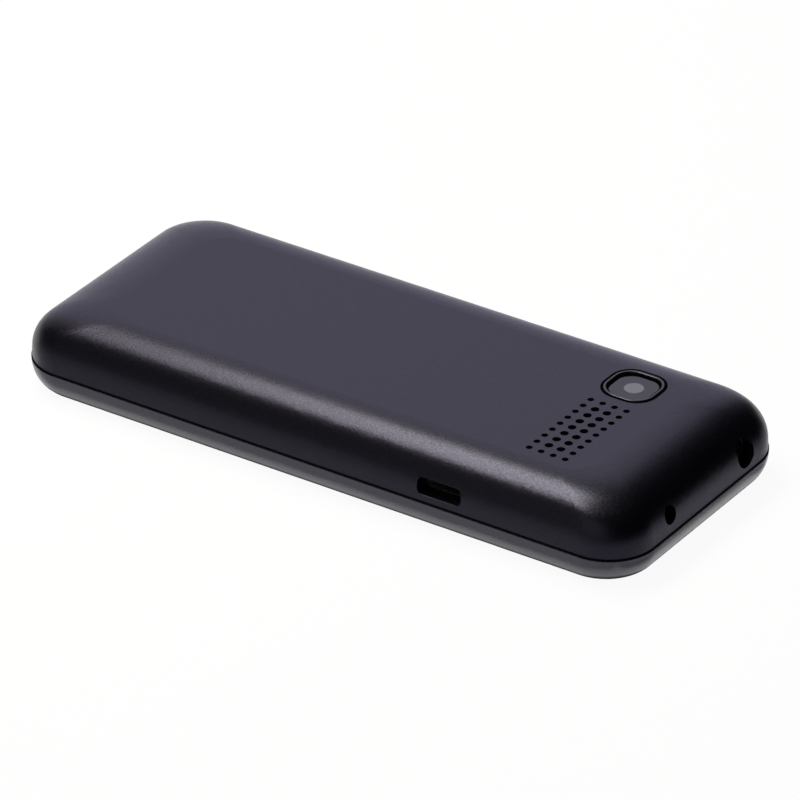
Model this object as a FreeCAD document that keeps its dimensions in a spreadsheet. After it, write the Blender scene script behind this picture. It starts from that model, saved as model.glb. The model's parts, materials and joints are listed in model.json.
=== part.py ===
import FreeCAD, Part

import math
import os
import re

import Sketcher

# A bar-shaped feature phone lying on its front face, in millimetres.
# +Z points out of the back, +Y towards the end with the audio jack, and +X towards the side with
# the charging socket. The origin is under the middle of the phone, on the plane it rests on.

SIZES = {
    # outline of the whole body
    "body_width": 46.0,
    "body_length": 111.7,
    "body_thickness": 13.4,
    "corner_radius": 8.0,
    "seam_height": 4.65,
    "seam_gap": 0.2,
    "frame_lip": 0.12,
    # back shell
    "shell_wall": 1.2,
    "side_roll": 7.6,
    "side_roll_power": 1.44,
    "end_roll": 12.0,
    "end_roll_power": 1.37,
    "back_corner_radius": 5.2,
    # height up to which the pieces near the ends reach, as a share of the room in the back shell,
    # and their gap to the shell there
    "shoulder_rise": 0.782313,
    "end_gap": 0.3,
    # front shell
    "front_wall": 1.5,
    "front_side_wall": 1.9,
    "front_side_roll": 2.75,
    "front_end_roll": 3.2,
    "front_corner_radius": 6.2,
    # camera place
    "camera_side_inset": 12.1,
    "camera_end_inset": 20.05,
    "camera_width": 9.3,
    "camera_length": 9.4,
    "camera_radius": 3.6,
    "camera_recess": 0.8,
    "trim_gap": 0.22,
    "trim_wall": 0.9,
    "trim_proud": 0.1,
    "window_gap": 0.1,
    "window_depth": 0.35,
    "window_ledge": 0.43,
    "barrel_side_gap": 0.6,
    "barrel_top_gap": 0.3,
    "module_rim": 0.7,
    # loudspeaker and the grid over it
    "speaker_side_inset": 7.95,
    "speaker_gap": 1.25,
    "speaker_shift": 0.08,
    "speaker_length": 12.0,
    "speaker_radius": 4.0,
    "speaker_mesh_gap": 0.2,
    "gasket_height": 0.95,
    "gasket_wall": 1.2,
    "mesh_sheet": 0.15,
    "mesh_margin": 0.9,
    "grid_columns": 9,
    "grid_rows": 4,
    "grid_margin": 2.028,
    "grid_hole": 0.52,
    "grid_hole_large": 0.66,
    # charging socket
    "usb_from_camera": 12.8,
    "usb_opening_length": 7.8,
    "usb_opening_height": 2.8,
    "usb_opening_radius": 0.9,
    "usb_end_gap": 0.2,
    "usb_flat_gap": 0.15,
    "usb_depth": 5.6,
    "usb_recess": 2.35,
    "usb_sheet": 0.3,
    "tongue_length": 3.9,
    "tongue_height": 0.65,
    "tongue_recess": 0.9,
    # audio jack
    "jack_side_inset": 11.85,
    "jack_width": 6.4,
    "jack_gap": 0.3,
    "jack_sink": 0.5,
    "jack_tab": 0.8,
    "jack_tab_length": 4.0,
    "jack_tab_height": 0.4,
    "jack_nose_inset": 0.2,
    "jack_nose_wall": 0.2,
    "jack_nose_length": 2.3,
    "jack_nose_root": 1.0,
    "jack_hole_gap": 0.2,
    "jack_floor": 0.8,
    # torch
    "torch_side_inset": 12.95,
    "torch_width": 4.0,
    "torch_drop": 1.1,
    "torch_setback": 1.1,
    "torch_length": 3.4,
    "torch_lens_inset": 0.4,
    "torch_lens_length": 2.4,
    "torch_hole_gap": 0.2,
    # main board
    "board_front": 5.2,
    "board_thickness": 1.0,
    "board_gap": 0.25,
    # middle frame
    "chassis_gap": 0.2,
    "chassis_wall": 0.8,
    "chassis_skirt": 2.5,
    "chassis_plate": 0.6,
    "window_clear": 0.3,
    "bay_wall": 1.0,
    "bay_drop": 1.1,
    "bay_gap": 0.2,
    # battery and its contacts
    "battery_side_inset": 6.0,
    "battery_from_usb": 8.6,
    "battery_end_inset": 17.35,
    "battery_cover_gap": 0.6,
    "battery_radius": 1.2,
    "contact_width": 11.0,
    "contact_length": 3.0,
    "contact_drop": 0.5,
    "contact_offset": 0.4,
    "contact_leaf": 0.35,
    "contact_pitch": 3.0,
    "contact_leaf_width": 1.2,
    # card holders under the battery
    "sim_side_inset": 3.5,
    "sim_end_inset": 5.5,
    "memory_width": 14.5,
    "memory_end_inset": 7.0,
    "memory_shorter": 1.0,
    "card_holder_space": 9.5,
    "card_holder_height": 1.2,
    "card_holder_gap": 0.1,
    "card_holder_floor": 0.3,
    "card_holder_wall": 0.9,
    # shields on the board
    "shield_height": 2.6,
    "shield_sheet": 0.25,
    "shield_gap": 1.5,
    # vibration motor
    "motor_side_inset": 12.9,
    "motor_from_usb": 0.5,
    "motor_cover_gap": 0.65,
    "motor_length": 7.0,
    "motor_lift": 0.05,
    "motor_shaft": 0.4,
    "weight_inset": 0.2,
    "weight_length": 2.8,
    "weight_gap": 0.5,
    "weight_hub": 0.95,
    "weight_fit": 0.05,
    # antenna at the lower end
    "carrier_gap": 2.7,
    "antenna_margin": 1.2,
    "antenna_sheet": 0.2,
    # screws
    "upper_screw_side_inset": 5.8,
    "upper_screw_end_inset": 6.95,
    "lower_screw_side_inset": 7.5,
    "lower_screw_end_inset": 4.85,
    "side_screw_from_usb": 6.7,
    "screw_radius": 0.75,
    "screw_head_radius": 1.4,
    "screw_head_height": 0.5,
    "screw_head_gap": 0.3,
    "screw_length": 5.2,
    "screw_fit": 0.08,
    "boss_radius": 1.7,
    # display
    "lens_side_inset": 4.5,
    "lens_from_ear": 3.7,
    "lens_from_keys": 4.6,
    "lens_radius": 2.4,
    "lens_depth": 0.9,
    "lens_thickness": 0.65,
    "lens_gap": 0.1,
    "lens_side_border": 3.8,
    "lens_end_border": 2.3,
    "lcd_side_rim": 1.6,
    "lcd_end_rim": 2.3,
    "lcd_shift": 0.5,
    "lcd_thickness": 2.4,
    "lcd_boss_gap": 0.2,
    "lcd_gasket": 0.4,
    "gasket_clear": 0.35,
    "holder_rim": 3.0,
    # earpiece and microphone
    "ear_end_inset": 5.65,
    "ear_slot_width": 9.0,
    "ear_slot_height": 1.3,
    "ear_rim": 0.5,
    "ear_length": 5.2,
    "ear_height": 2.4,
    "mic_from_screw": 7.5,
    "mic_hole": 0.6,
    "mic_radius": 1.5,
    "mic_height": 1.2,
    "boot_wall": 1.1,
    # keys
    "key_recess": 0.3,
    "key_gap": 0.15,
    "key_travel": 0.3,
    "key_radius": 1.6,
    "key_edge": 0.3,
    "flange_gap": 0.05,
    "flange_rim": 0.45,
    "flange_thickness": 0.5,
    "key_space_x": 1.2,
    "key_space_y": 1.5,
    "key_margin": 0.5,
    "key_shift": 0.45,
    "side_key_nav_space": 1.7,
    "side_key_edge_space": 0.9,
    "side_key_space_y": 1.3,
    "side_key_inset": 0.15,
    # navigation ring with the OK key in it
    "nav_from_top": 7.4,
    "nav_width": 15.4,
    "nav_length": 13.4,
    "nav_radius": 4.6,
    "nav_gap": 0.25,
    "nav_flange_drop": 0.5,
    "nav_flange": 0.4,
    "nav_foot_radius": 0.8,
    "nav_foot_inset": 0.6,
    "nav_foot_gap": 0.45,
    "pivot_drop": 0.25,
    "pivot_foot_gap": 0.3,
    "pivot_wall": 0.7,
    "pivot_height": 0.6,
    "nav_hole_gap": 0.65,
    "ok_gap": 0.35,
    "ok_flange_drop": 0.3,
    "ok_flange_rim": 0.6,
    "ok_flange": 0.4,
    "ok_stem_radius": 1.1,
    # silicone web and click domes
    "web_gap": 0.1,
    "web_thickness": 0.4,
    "web_side_inset": 3.3,
    "web_from_screw": 2.1,
    "web_nav_rows": 15.8,
    "web_length": 49.8,
    "web_nav_clear": 1.3,
    "plunger_radius": 1.2,
    "dome_gap": 0.05,
    "dome_radius": 2.0,
    "dome_height": 0.25,
    "dome_sheet": 0.1,
    # rounding of small corners
    "block_corner": 0.5,
    "can_corner": 0.8,
    "slot_corner": 0.3,
    "panel_corner": 1.0,
    "ear_corner": 1.2,
    "antenna_corner": 1.5,
    "carrier_corner": 2.5,
    "web_corner": 3.0,
    "web_nav_corner": 4.0,
}

# Places that follow from the sizes. Each is an expression in the names above and in each other.
PLACES = {
    # heights above the plane the phone rests on
    "shell_bottom": "seam_height + seam_gap",
    "back_inside": "body_thickness - shell_wall",
    "above_back": "body_thickness + shell_wall",
    "back_cut": "3 * shell_wall",
    "shoulder_height": "shell_bottom + (back_inside - shell_bottom) * shoulder_rise",
    "board_rear": "board_front + board_thickness",
    "chassis_top": "board_rear + card_holder_height + card_holder_gap",
    "plate_bottom": "chassis_top - chassis_plate",
    "battery_thickness": "back_inside - battery_cover_gap - chassis_top",
    "bay_height": "battery_thickness - bay_drop",
    "bay_top": "chassis_top + bay_height",
    "contact_height": "bay_top - contact_drop - board_rear",
    "camera_ledge": "body_thickness - camera_recess",
    "module_rise": "shoulder_height - board_rear",
    "barrel_rise": "camera_ledge - barrel_top_gap - shoulder_height",
    "usb_height": "usb_opening_height - 2 * usb_flat_gap",
    "usb_height_centre": "board_rear + usb_height / 2",
    "jack_height": "shoulder_height - board_rear",
    "jack_bottom": "board_rear - jack_sink",
    "jack_height_centre": "jack_bottom + jack_height / 2",
    "torch_height": "shoulder_height - board_rear - torch_drop",
    "torch_height_centre": "board_rear + torch_height / 2",
    "gasket_top": "back_inside - mesh_sheet - speaker_mesh_gap",
    "speaker_top": "gasket_top - gasket_height",
    "speaker_height": "speaker_top - chassis_top",
    "motor_radius": "(back_inside - motor_cover_gap - motor_lift - chassis_top) / 2",
    "motor_height": "chassis_top + motor_radius + motor_lift",
    "carrier_top": "shoulder_height - antenna_sheet",
    "lcd_front": "front_wall + lcd_gasket",
    "lcd_rear": "lcd_front + lcd_thickness",
    "flange_front": "front_wall + flange_gap",
    "flange_rear": "flange_front + flange_thickness",
    "web_front": "flange_rear + key_travel + web_gap",
    "web_rear": "web_front + web_thickness",
    "dome_top": "board_front - dome_sheet - dome_height",
    "nav_flange_front": "front_wall + nav_flange_drop",
    "nav_rear": "nav_flange_front + nav_flange",
    "pivot_front": "nav_rear + pivot_drop",
    "ok_flange_front": "nav_rear + ok_flange_drop",
    "ok_rear": "ok_flange_front + ok_flange",
    # distances along the phone
    "top_end": "body_length / 2",
    "end_shoulder": "shell_wall + (end_roll - shell_wall)"
                    " * (1 - sqrt(1 - shoulder_rise * shoulder_rise)) ^ end_roll_power",
    "end_reach": "top_end - end_shoulder - end_gap",
    "camera_y": "top_end - camera_end_inset",
    "speaker_y": "camera_y - speaker_shift",
    "usb_y": "camera_y - usb_from_camera",
    "motor_y": "usb_y + motor_from_usb",
    "jack_nose_end": "end_reach + jack_nose_length",
    "jack_back": "camera_y + module_width / 2 + jack_gap",
    "torch_face": "end_reach - torch_setback",
    "torch_back": "torch_face - torch_length",
    "battery_upper": "usb_y - battery_from_usb",
    "battery_lower": "battery_end_inset - top_end",
    "battery_length": "battery_upper - battery_lower",
    "battery_y": "(battery_upper + battery_lower) / 2",
    "contact_front": "battery_upper + contact_offset",
    "contact_rear": "contact_front + contact_length",
    "card_rows": "battery_length - sim_end_inset - card_holder_space - memory_end_inset",
    "sim_length": "(card_rows + memory_shorter) / 2",
    "sim_y": "battery_lower + sim_end_inset + sim_length / 2",
    "memory_length": "(card_rows - memory_shorter) / 2",
    "memory_y": "battery_upper - memory_end_inset - memory_length / 2",
    "main_shield_lower": "contact_rear + shield_gap",
    "main_shield_upper": "speaker_y - speaker_length / 2 - shield_gap",
    "main_shield_length": "main_shield_upper - main_shield_lower",
    "main_shield_y": "(main_shield_upper + main_shield_lower) / 2",
    "radio_shield_lower": "speaker_y + speaker_length / 2 + shield_gap",
    "radio_shield_length": "end_reach - radio_shield_lower",
    "radio_shield_y": "(end_reach + radio_shield_lower) / 2",
    "carrier_upper": "battery_lower - bay_gap - bay_wall - carrier_gap",
    "carrier_length": "carrier_upper + end_reach",
    "carrier_y": "(carrier_upper - end_reach) / 2",
    "upper_screw_y": "top_end - upper_screw_end_inset",
    "side_screw_y": "usb_y + side_screw_from_usb",
    "lower_screw_y": "lower_screw_end_inset - top_end",
    "ear_y": "top_end - ear_end_inset",
    "mic_y": "lower_screw_y",
    "web_lower": "lower_screw_y + web_from_screw",
    "web_upper": "web_lower + web_length",
    "web_y": "(web_lower + web_upper) / 2",
    "lens_upper": "ear_y - lens_from_ear",
    "lens_lower": "web_upper + lens_from_keys",
    "lens_length": "lens_upper - lens_lower",
    "lens_y": "(lens_upper + lens_lower) / 2",
    "view_length": "lens_length - 2 * lens_end_border",
    "lcd_length": "view_length + 2 * lcd_end_rim",
    "lcd_y": "lens_y - lcd_shift",
    "key_pitch_y": "(web_length - web_nav_rows) / 4",
    "key_length": "key_pitch_y - key_space_y",
    "key_last_y": "web_lower + key_pitch_y / 2 - key_shift",
    "nav_y": "web_upper - nav_from_top",
    "side_key_length": "(nav_length - side_key_space_y) / 2 - side_key_inset",
    "soft_key_y": "nav_y + (side_key_length + side_key_space_y) / 2",
    "call_key_y": "nav_y - (side_key_length + side_key_space_y) / 2",
    "nav_foot_reach": "nav_length / 2 - nav_foot_inset",
    # distances across the phone
    "side": "body_width / 2",
    "camera_x": "camera_side_inset - side",
    "usb_mouth": "side - usb_recess",
    "usb_back": "usb_mouth - usb_depth",
    "jack_x": "jack_side_inset - side",
    "torch_x": "side - torch_side_inset",
    "motor_x": "motor_side_inset - side",
    "motor_right": "motor_x + motor_length / 2",
    "speaker_left": "camera_x + module_width / 2 + speaker_gap",
    "speaker_right": "side - speaker_side_inset",
    "speaker_width": "speaker_right - speaker_left",
    "speaker_x": "(speaker_right + speaker_left) / 2",
    "grid_pitch": "(speaker_width - 2 * grid_margin) / (grid_columns - 1)",
    "main_shield_left": "motor_right + shield_gap",
    "main_shield_right": "usb_back - shield_gap",
    "main_shield_width": "main_shield_right - main_shield_left",
    "main_shield_x": "(main_shield_right + main_shield_left) / 2",
    "radio_shield_left": "jack_x + jack_width / 2 + jack_tab + shield_gap",
    "radio_shield_right": "torch_x - torch_width / 2 - shield_gap",
    "radio_shield_width": "radio_shield_right - radio_shield_left",
    "radio_shield_x": "(radio_shield_right + radio_shield_left) / 2",
    "battery_width": "body_width - 2 * battery_side_inset",
    "sim_width": "battery_width - 2 * sim_side_inset",
    "upper_screw_x": "side - upper_screw_side_inset",
    "side_screw_x": "lcd_width / 2 + lcd_boss_gap + boss_radius",
    "lower_screw_x": "side - lower_screw_side_inset",
    "carrier_width": "2 * (lower_screw_x - screw_head_radius - screw_head_gap)",
    "mic_x": "lower_screw_x - mic_from_screw",
    "lens_width": "body_width - 2 * lens_side_inset",
    "view_width": "lens_width - 2 * lens_side_border",
    "lcd_width": "view_width + 2 * lcd_side_rim",
    "ear_width": "ear_slot_width + 2 * ear_rim",
    "web_width": "body_width - 2 * web_side_inset",
    "key_pitch_x": "(web_width - 2 * key_margin) / 3",
    "key_width": "key_pitch_x - key_space_x",
    "side_key_width": "(web_width - nav_width) / 2 - side_key_nav_space - side_key_edge_space",
    "side_key_x": "(web_width - side_key_width) / 2 - side_key_edge_space",
    # outlines and radii
    "trim_width": "camera_width - 2 * trim_gap",
    "trim_length": "camera_length - 2 * trim_gap",
    "trim_radius": "camera_radius - trim_gap",
    "window_width": "trim_width - 2 * trim_wall - 2 * window_gap",
    "window_length": "trim_length - 2 * trim_wall - 2 * window_gap",
    "window_radius": "trim_radius - trim_wall - window_gap",
    "camera_view": "window_width - 2 * window_ledge",
    "barrel_radius": "camera_view / 2 - barrel_side_gap",
    "module_width": "camera_view + 2 * module_rim",
    "usb_length": "usb_opening_length - 2 * usb_end_gap",
    "usb_corner": "usb_opening_radius - usb_end_gap",
    "jack_nose_radius": "jack_height / 2 - jack_nose_inset",
    "jack_bore": "jack_nose_radius - jack_nose_wall",
    "jack_hole": "jack_nose_radius + jack_hole_gap",
    "torch_lens": "torch_height / 2 - torch_lens_inset",
    "torch_hole": "torch_lens + torch_hole_gap",
    "weight_radius": "motor_radius - weight_inset",
    "ear_slot_radius": "ear_slot_height * 0.49",
    "boot_radius": "mic_hole + boot_wall",
    "pivot_outer": "nav_foot_reach - nav_foot_radius - pivot_foot_gap",
    "pivot_inner": "pivot_outer - pivot_wall",
    "nav_hole": "pivot_inner - nav_hole_gap",
    "ok_radius": "nav_hole - ok_gap",
    "ok_flange_radius": "ok_radius + ok_flange_rim",
    "front_cavity_width": "body_width - 2 * front_side_wall",
    "front_cavity_length": "body_length - 2 * front_side_wall",
    "front_cavity_radius": "corner_radius - front_side_wall",
    "chassis_width": "front_cavity_width - 2 * chassis_gap",
    "chassis_length": "front_cavity_length - 2 * chassis_gap",
    "chassis_radius": "front_cavity_radius - chassis_gap",
    "skirt_width": "chassis_width - 2 * chassis_wall",
    "skirt_length": "chassis_length - 2 * chassis_wall",
    "skirt_radius": "chassis_radius - chassis_wall",
    "board_width": "skirt_width - 2 * board_gap",
    "board_length": "skirt_length - 2 * board_gap",
    "board_radius": "skirt_radius - board_gap",
    "bay_width": "battery_width + 2 * bay_gap",
    "bay_length": "battery_length + 2 * bay_gap",
}

# Steps of the rounded edges, as angles in degrees round a quarter of an ellipse.
ROLL_STEPS = (0, 14, 28, 42, 55, 67, 78, 85, 90)

# The number keys from the top row down, each row from the left as the user sees the front.
NUMBER_KEYS = (
    ("key_1", "key_2", "key_3"),
    ("key_4", "key_5", "key_6"),
    ("key_7", "key_8", "key_9"),
    ("key_star", "key_0", "key_hash"),
)

# The four ways the navigation ring is pressed.
NAV_WAYS = ((1, 0), (0, 1), (-1, 0), (0, -1))

doc = FreeCAD.newDocument("bar_phone")
sheet = doc.addObject("Spreadsheet::Sheet", "sizes")
for row, (size_name, size_value) in enumerate(SIZES.items(), start=1):
    sheet.set(f"A{row}", size_name)
    sheet.set(f"B{row}", str(size_value))
    sheet.setAlias(f"B{row}", size_name)
doc.recompute()

pieces = []
roundings = []


# ---- expressions, sketches and features ----


def bind(text):
    """The text as an expression of the document, with its names pointed at the sheet."""

    def point(match):
        word = match[0]
        if word in SIZES:
            return f"sizes.{word}"
        if word in PLACES:
            return f"({bind(PLACES[word])})"
        return word

    return re.sub(r"[a-z_][a-z0-9_]*", point, str(text))


def value(text):
    """What an expression comes to, as a number of millimetres."""
    return float(sheet.evalExpression(bind(text)))


def new_body(name):
    """An empty body for one piece of the phone."""
    piece = doc.addObject("PartDesign::Body", name)
    piece.Label = name
    pieces.append(piece)
    return piece


def new_sketch(piece, name, level="0", plane="XY_Plane"):
    """A sketch on one of the body's own origin planes, moved along that plane's normal to a level."""
    flat = next(f for f in piece.Origin.OriginFeatures if f.Role == plane)
    sketch = piece.newObject("Sketcher::SketchObject", f"{piece.Name}_{name}")
    sketch.AttachmentSupport = [(flat, "")]
    sketch.MapMode = "FlatFace"
    sketch.setExpression(".AttachmentOffset.Base.z", bind(level))
    return sketch


def hold(sketch, name, constraint, text):
    """Adds a named constraint to a sketch and binds it to an expression."""
    index = sketch.addConstraint(constraint)
    sketch.renameConstraint(index, name)
    sketch.setExpression(f".Constraints.{name}", bind(text))


def draw_rounded(sketch, width, length, radius, x="0", y="0"):
    """Draws a rounded rectangle round the point x, y."""
    w, d, r, cx, cy = (value(text) for text in (width, length, radius, x, y))
    centres = [
        (cx + w / 2 - r, cy - d / 2 + r),
        (cx + w / 2 - r, cy + d / 2 - r),
        (cx - w / 2 + r, cy + d / 2 - r),
        (cx - w / 2 + r, cy - d / 2 + r),
    ]
    first = sketch.GeometryCount
    for quarter, (ax, ay) in enumerate(centres):
        turn = (quarter - 1) * math.pi / 2
        bx, by = centres[quarter - 1]
        out_x, out_y = r * math.cos(turn), r * math.sin(turn)
        start = FreeCAD.Vector(bx + out_x, by + out_y)
        end = FreeCAD.Vector(ax + out_x, ay + out_y)
        sketch.addGeometry(Part.LineSegment(start, end))
        circle = Part.Circle(FreeCAD.Vector(ax, ay), FreeCAD.Vector(0, 0, 1), r)
        sketch.addGeometry(Part.ArcOfCircle(circle, turn, turn + math.pi / 2))
    for step in range(8):
        following = first + (step + 1) % 8
        sketch.addConstraint(Sketcher.Constraint("Tangent", first + step, 2, following, 1))
    for step in range(0, 8, 2):
        sketch.addConstraint(Sketcher.Constraint(("Horizontal", "", "Vertical", "")[step % 4], first + step))
    for step in (3, 5, 7):
        sketch.addConstraint(Sketcher.Constraint("Equal", first + 1, first + step))
    right, left, top, bottom = first + 2, first + 6, first + 4, first
    hold(sketch, f"radius_{first}", Sketcher.Constraint("Radius", first + 1, r), radius)
    hold(sketch, f"width_{first}", Sketcher.Constraint("DistanceX", left, 1, right, 1, w), width)
    hold(sketch, f"length_{first}", Sketcher.Constraint("DistanceY", bottom, 1, top, 1, d), length)
    side = Sketcher.Constraint("DistanceX", -1, 1, left, 1, cx - w / 2)
    hold(sketch, f"left_{first}", side, f"({x}) - ({width}) / 2")
    edge = Sketcher.Constraint("DistanceY", -1, 1, bottom, 1, cy - d / 2)
    hold(sketch, f"lower_{first}", edge, f"({y}) - ({length}) / 2")


def draw_circle(sketch, radius, x="0", y="0"):
    """Draws a circle round the point x, y."""
    r, cx, cy = (value(text) for text in (radius, x, y))
    circle = Part.Circle(FreeCAD.Vector(cx, cy), FreeCAD.Vector(0, 0, 1), r)
    index = sketch.addGeometry(circle)
    hold(sketch, f"radius_{index}", Sketcher.Constraint("Radius", index, r), radius)
    hold(sketch, f"across_{index}", Sketcher.Constraint("DistanceX", -1, 1, index, 3, cx), x)
    hold(sketch, f"along_{index}", Sketcher.Constraint("DistanceY", -1, 1, index, 3, cy), y)


def extrude(piece, kind, sketch, length, reverse=False):
    """A Pad or a Pocket of a sketch, with its length bound to an expression."""
    feature = piece.newObject(f"PartDesign::{kind}", f"{sketch.Name}_{kind.lower()}")
    feature.Profile = sketch
    feature.setExpression("Length", bind(length))
    feature.Reversed = reverse
    feature.Refine = False
    piece.Tip = feature
    return feature


def pad(piece, sketch, length, reverse=False):
    """Adds material on the sketch's side that its normal points to, or behind it."""
    return extrude(piece, "Pad", sketch, length, reverse)


def pocket(piece, sketch, length, reverse=False):
    """Takes material away behind the sketch, or on the side that its normal points to."""
    return extrude(piece, "Pocket", sketch, length, reverse)


def loft(piece, kind, sketches):
    """A smooth AdditiveLoft or SubtractiveLoft through sketches."""
    feature = piece.newObject(f"PartDesign::{kind}", f"{sketches[0].Name}_loft")
    feature.Profile = sketches[0]
    feature.Sections = sketches[1:]
    feature.Ruled = False
    piece.Tip = feature
    return feature


def round_later(piece, radius, chosen):
    """Notes that the finished body gets a fillet on the edges that the chosen test accepts."""
    roundings.append((piece, radius, chosen))


def round_edges():
    """Adds the noted fillets, once every body has its shape."""
    for piece, radius, chosen in roundings:
        base = piece.Tip
        names = [f"Edge{n}" for n, edge in enumerate(base.Shape.Edges, start=1) if chosen(edge.BoundBox)]
        feature = piece.newObject("PartDesign::Fillet", f"{piece.Name}_fillet")
        feature.Base = (base, names)
        feature.setExpression("Radius", bind(radius))
        piece.Tip = feature


def at_height(height):
    """A test for edges that lie flat at one height."""
    return lambda box: abs(box.ZMin - height) < 1e-4 and abs(box.ZMax - height) < 1e-4


def block(name, width, length, radius, bottom, height, x="0", y="0"):
    """A body that is one upright block with rounded corners."""
    piece = new_body(name)
    sketch = new_sketch(piece, "outline", bottom)
    draw_rounded(sketch, width, length, radius, x, y)
    pad(piece, sketch, height)
    return piece


def window(piece, name, level, depth, width, length, radius, x="0", y="0"):
    """A rounded opening cut down into a body from a level."""
    sketch = new_sketch(piece, name, level)
    draw_rounded(sketch, width, length, radius, x, y)
    return pocket(piece, sketch, depth)


# ---- the two shells ----


def back_section(piece, name, angle, wall):
    """One level of the back shell's rounded form, set in by a wall. The sides and the ends roll over
    on curves that start more slowly than an ellipse, the longer one at the ends."""
    height = f"shell_bottom + (body_thickness - shell_bottom - {wall}) * sin({angle}deg)"
    side = f"({wall} + (side_roll - {wall}) * (1 - cos({angle}deg)) ^ side_roll_power)"
    end = f"({wall} + (end_roll - {wall}) * (1 - cos({angle}deg)) ^ end_roll_power)"
    radius = f"(corner_radius - {wall} - (corner_radius - back_corner_radius) * (1 - cos({angle}deg)))"
    sketch = new_sketch(piece, name, height)
    draw_rounded(sketch, f"body_width - 2 * {side}", f"body_length - 2 * {end}", radius)
    return sketch


def front_section(piece, name, angle):
    """One level of the front shell's outside, from the resting face (90) up to the seam (0)."""
    height = f"seam_height * (1 - sin({angle}deg))"
    side = f"(front_side_roll * (1 - cos({angle}deg)) - frame_lip)"
    end = f"(front_end_roll * (1 - cos({angle}deg)) - frame_lip)"
    radius = f"(corner_radius + frame_lip - (corner_radius - front_corner_radius) * (1 - cos({angle}deg)))"
    sketch = new_sketch(piece, name, height)
    draw_rounded(sketch, f"body_width - 2 * {side}", f"body_length - 2 * {end}", radius)
    return sketch


def make_rear_cover():
    """The back shell: a rounded tray with its openings."""
    cover = new_body("rear_cover")
    outside = [back_section(cover, f"outside_{a}", a, "0") for a in ROLL_STEPS]
    loft(cover, "AdditiveLoft", outside)
    inside = [back_section(cover, f"inside_{a}", a, "shell_wall") for a in ROLL_STEPS]
    loft(cover, "SubtractiveLoft", inside)

    camera = ("camera_x", "camera_y")
    window(cover, "camera_recess", "above_back", "above_back - camera_ledge",
           "camera_width", "camera_length", "camera_radius", *camera)
    window(cover, "camera_view", "above_back", "back_cut",
           "camera_view", "camera_view", "window_radius - window_ledge", *camera)

    grid = new_sketch(cover, "speaker_grid", "above_back")
    columns, rows = int(value("grid_columns")), int(value("grid_rows"))
    for i in range(columns):
        for j in range(rows):
            inner = 0 < i < columns - 1 and 0 < j < rows - 1
            x = f"speaker_x + ({i} - (grid_columns - 1) / 2) * grid_pitch"
            y = f"speaker_y + ({j} - (grid_rows - 1) / 2) * grid_pitch"
            draw_circle(grid, "grid_hole_large" if inner else "grid_hole", x, y)
    pocket(cover, grid, "back_cut")

    socket = new_sketch(cover, "usb_opening", "side", "YZ_Plane")
    draw_rounded(socket, "usb_opening_length", "usb_opening_height", "usb_opening_radius",
                 "usb_y", "usb_height_centre")
    pocket(cover, socket, "shell_wall + side_roll / 2")

    ports = new_sketch(cover, "end_holes", "-top_end", "XZ_Plane")
    draw_circle(ports, "jack_hole", "jack_x", "jack_height_centre")
    draw_circle(ports, "torch_hole", "torch_x", "torch_height_centre")
    pocket(cover, ports, "shell_wall + end_roll / 3", reverse=True)
    return cover


def key_wells():
    """Each hole in the front wall that a key shows through: name, width, length, radius, x, y."""
    side = ("side_key_width", "side_key_length", "key_radius")
    wells = [
        ("soft_key_left", *side, "side_key_x", "soft_key_y"),
        ("soft_key_right", *side, "-side_key_x", "soft_key_y"),
        ("call_key", *side, "side_key_x", "call_key_y"),
        ("end_key", *side, "-side_key_x", "call_key_y"),
    ]
    for r, names in enumerate(NUMBER_KEYS):
        for c, name in enumerate(names):
            place = (f"{1 - c} * key_pitch_x", f"key_last_y + {3 - r} * key_pitch_y")
            wells.append((name, "key_width", "key_length", "key_radius", *place))
    return wells


def screw_places():
    """The centres of the screws, as expressions for x and y."""
    places = []
    for x, y in (
        ("upper_screw_x", "upper_screw_y"),
        ("side_screw_x", "side_screw_y"),
        ("lower_screw_x", "lower_screw_y"),
    ):
        places += [(x, y), (f"-{x}", y)]
    return places


def make_front_housing():
    """The front shell: the thin frame under the seam, the front wall with its wells, and the bosses."""
    housing = new_body("front_housing")
    outside = [front_section(housing, f"outside_{a}", a) for a in reversed(ROLL_STEPS)]
    loft(housing, "AdditiveLoft", outside)
    window(housing, "cavity", "seam_height", "seam_height - front_wall",
           "front_cavity_width", "front_cavity_length", "front_cavity_radius")

    bosses = new_sketch(housing, "bosses", "front_wall")
    for x, y in screw_places():
        draw_circle(bosses, "boss_radius", x, y)
    pad(housing, bosses, "board_front - front_wall")
    pilots = new_sketch(housing, "pilots", "board_front")
    for x, y in screw_places():
        draw_circle(pilots, "screw_radius + screw_fit", x, y)
    pocket(housing, pilots, "board_front - front_wall")

    recess = new_sketch(housing, "lens_recess", "0")
    draw_rounded(recess, "lens_width + 2 * lens_gap", "lens_length + 2 * lens_gap",
                 "lens_radius + lens_gap", "0", "lens_y")
    pocket(housing, recess, "lens_depth", reverse=True)
    window(housing, "display_view", "front_wall", "front_wall",
           "view_width", "view_length", "lens_radius / 2", "0", "lens_y")

    for name, width, length, radius, x, y in key_wells():
        window(housing, f"{name}_well", "front_wall", "front_wall", f"{width} + 2 * key_gap",
               f"{length} + 2 * key_gap", f"{radius} + key_gap", x, y)
    window(housing, "nav_well", "front_wall", "front_wall", "nav_width + 2 * nav_gap",
           "nav_length + 2 * nav_gap", "nav_radius + nav_gap", "0", "nav_y")
    window(housing, "ear_slot", "front_wall", "front_wall", "ear_slot_width",
           "ear_slot_height", "ear_slot_radius", "0", "ear_y")
    hole = new_sketch(housing, "microphone_hole", "front_wall")
    draw_circle(hole, "mic_hole", "mic_x", "mic_y")
    pocket(housing, hole, "front_wall")
    return housing


# ---- what the back shell carries ----


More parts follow.
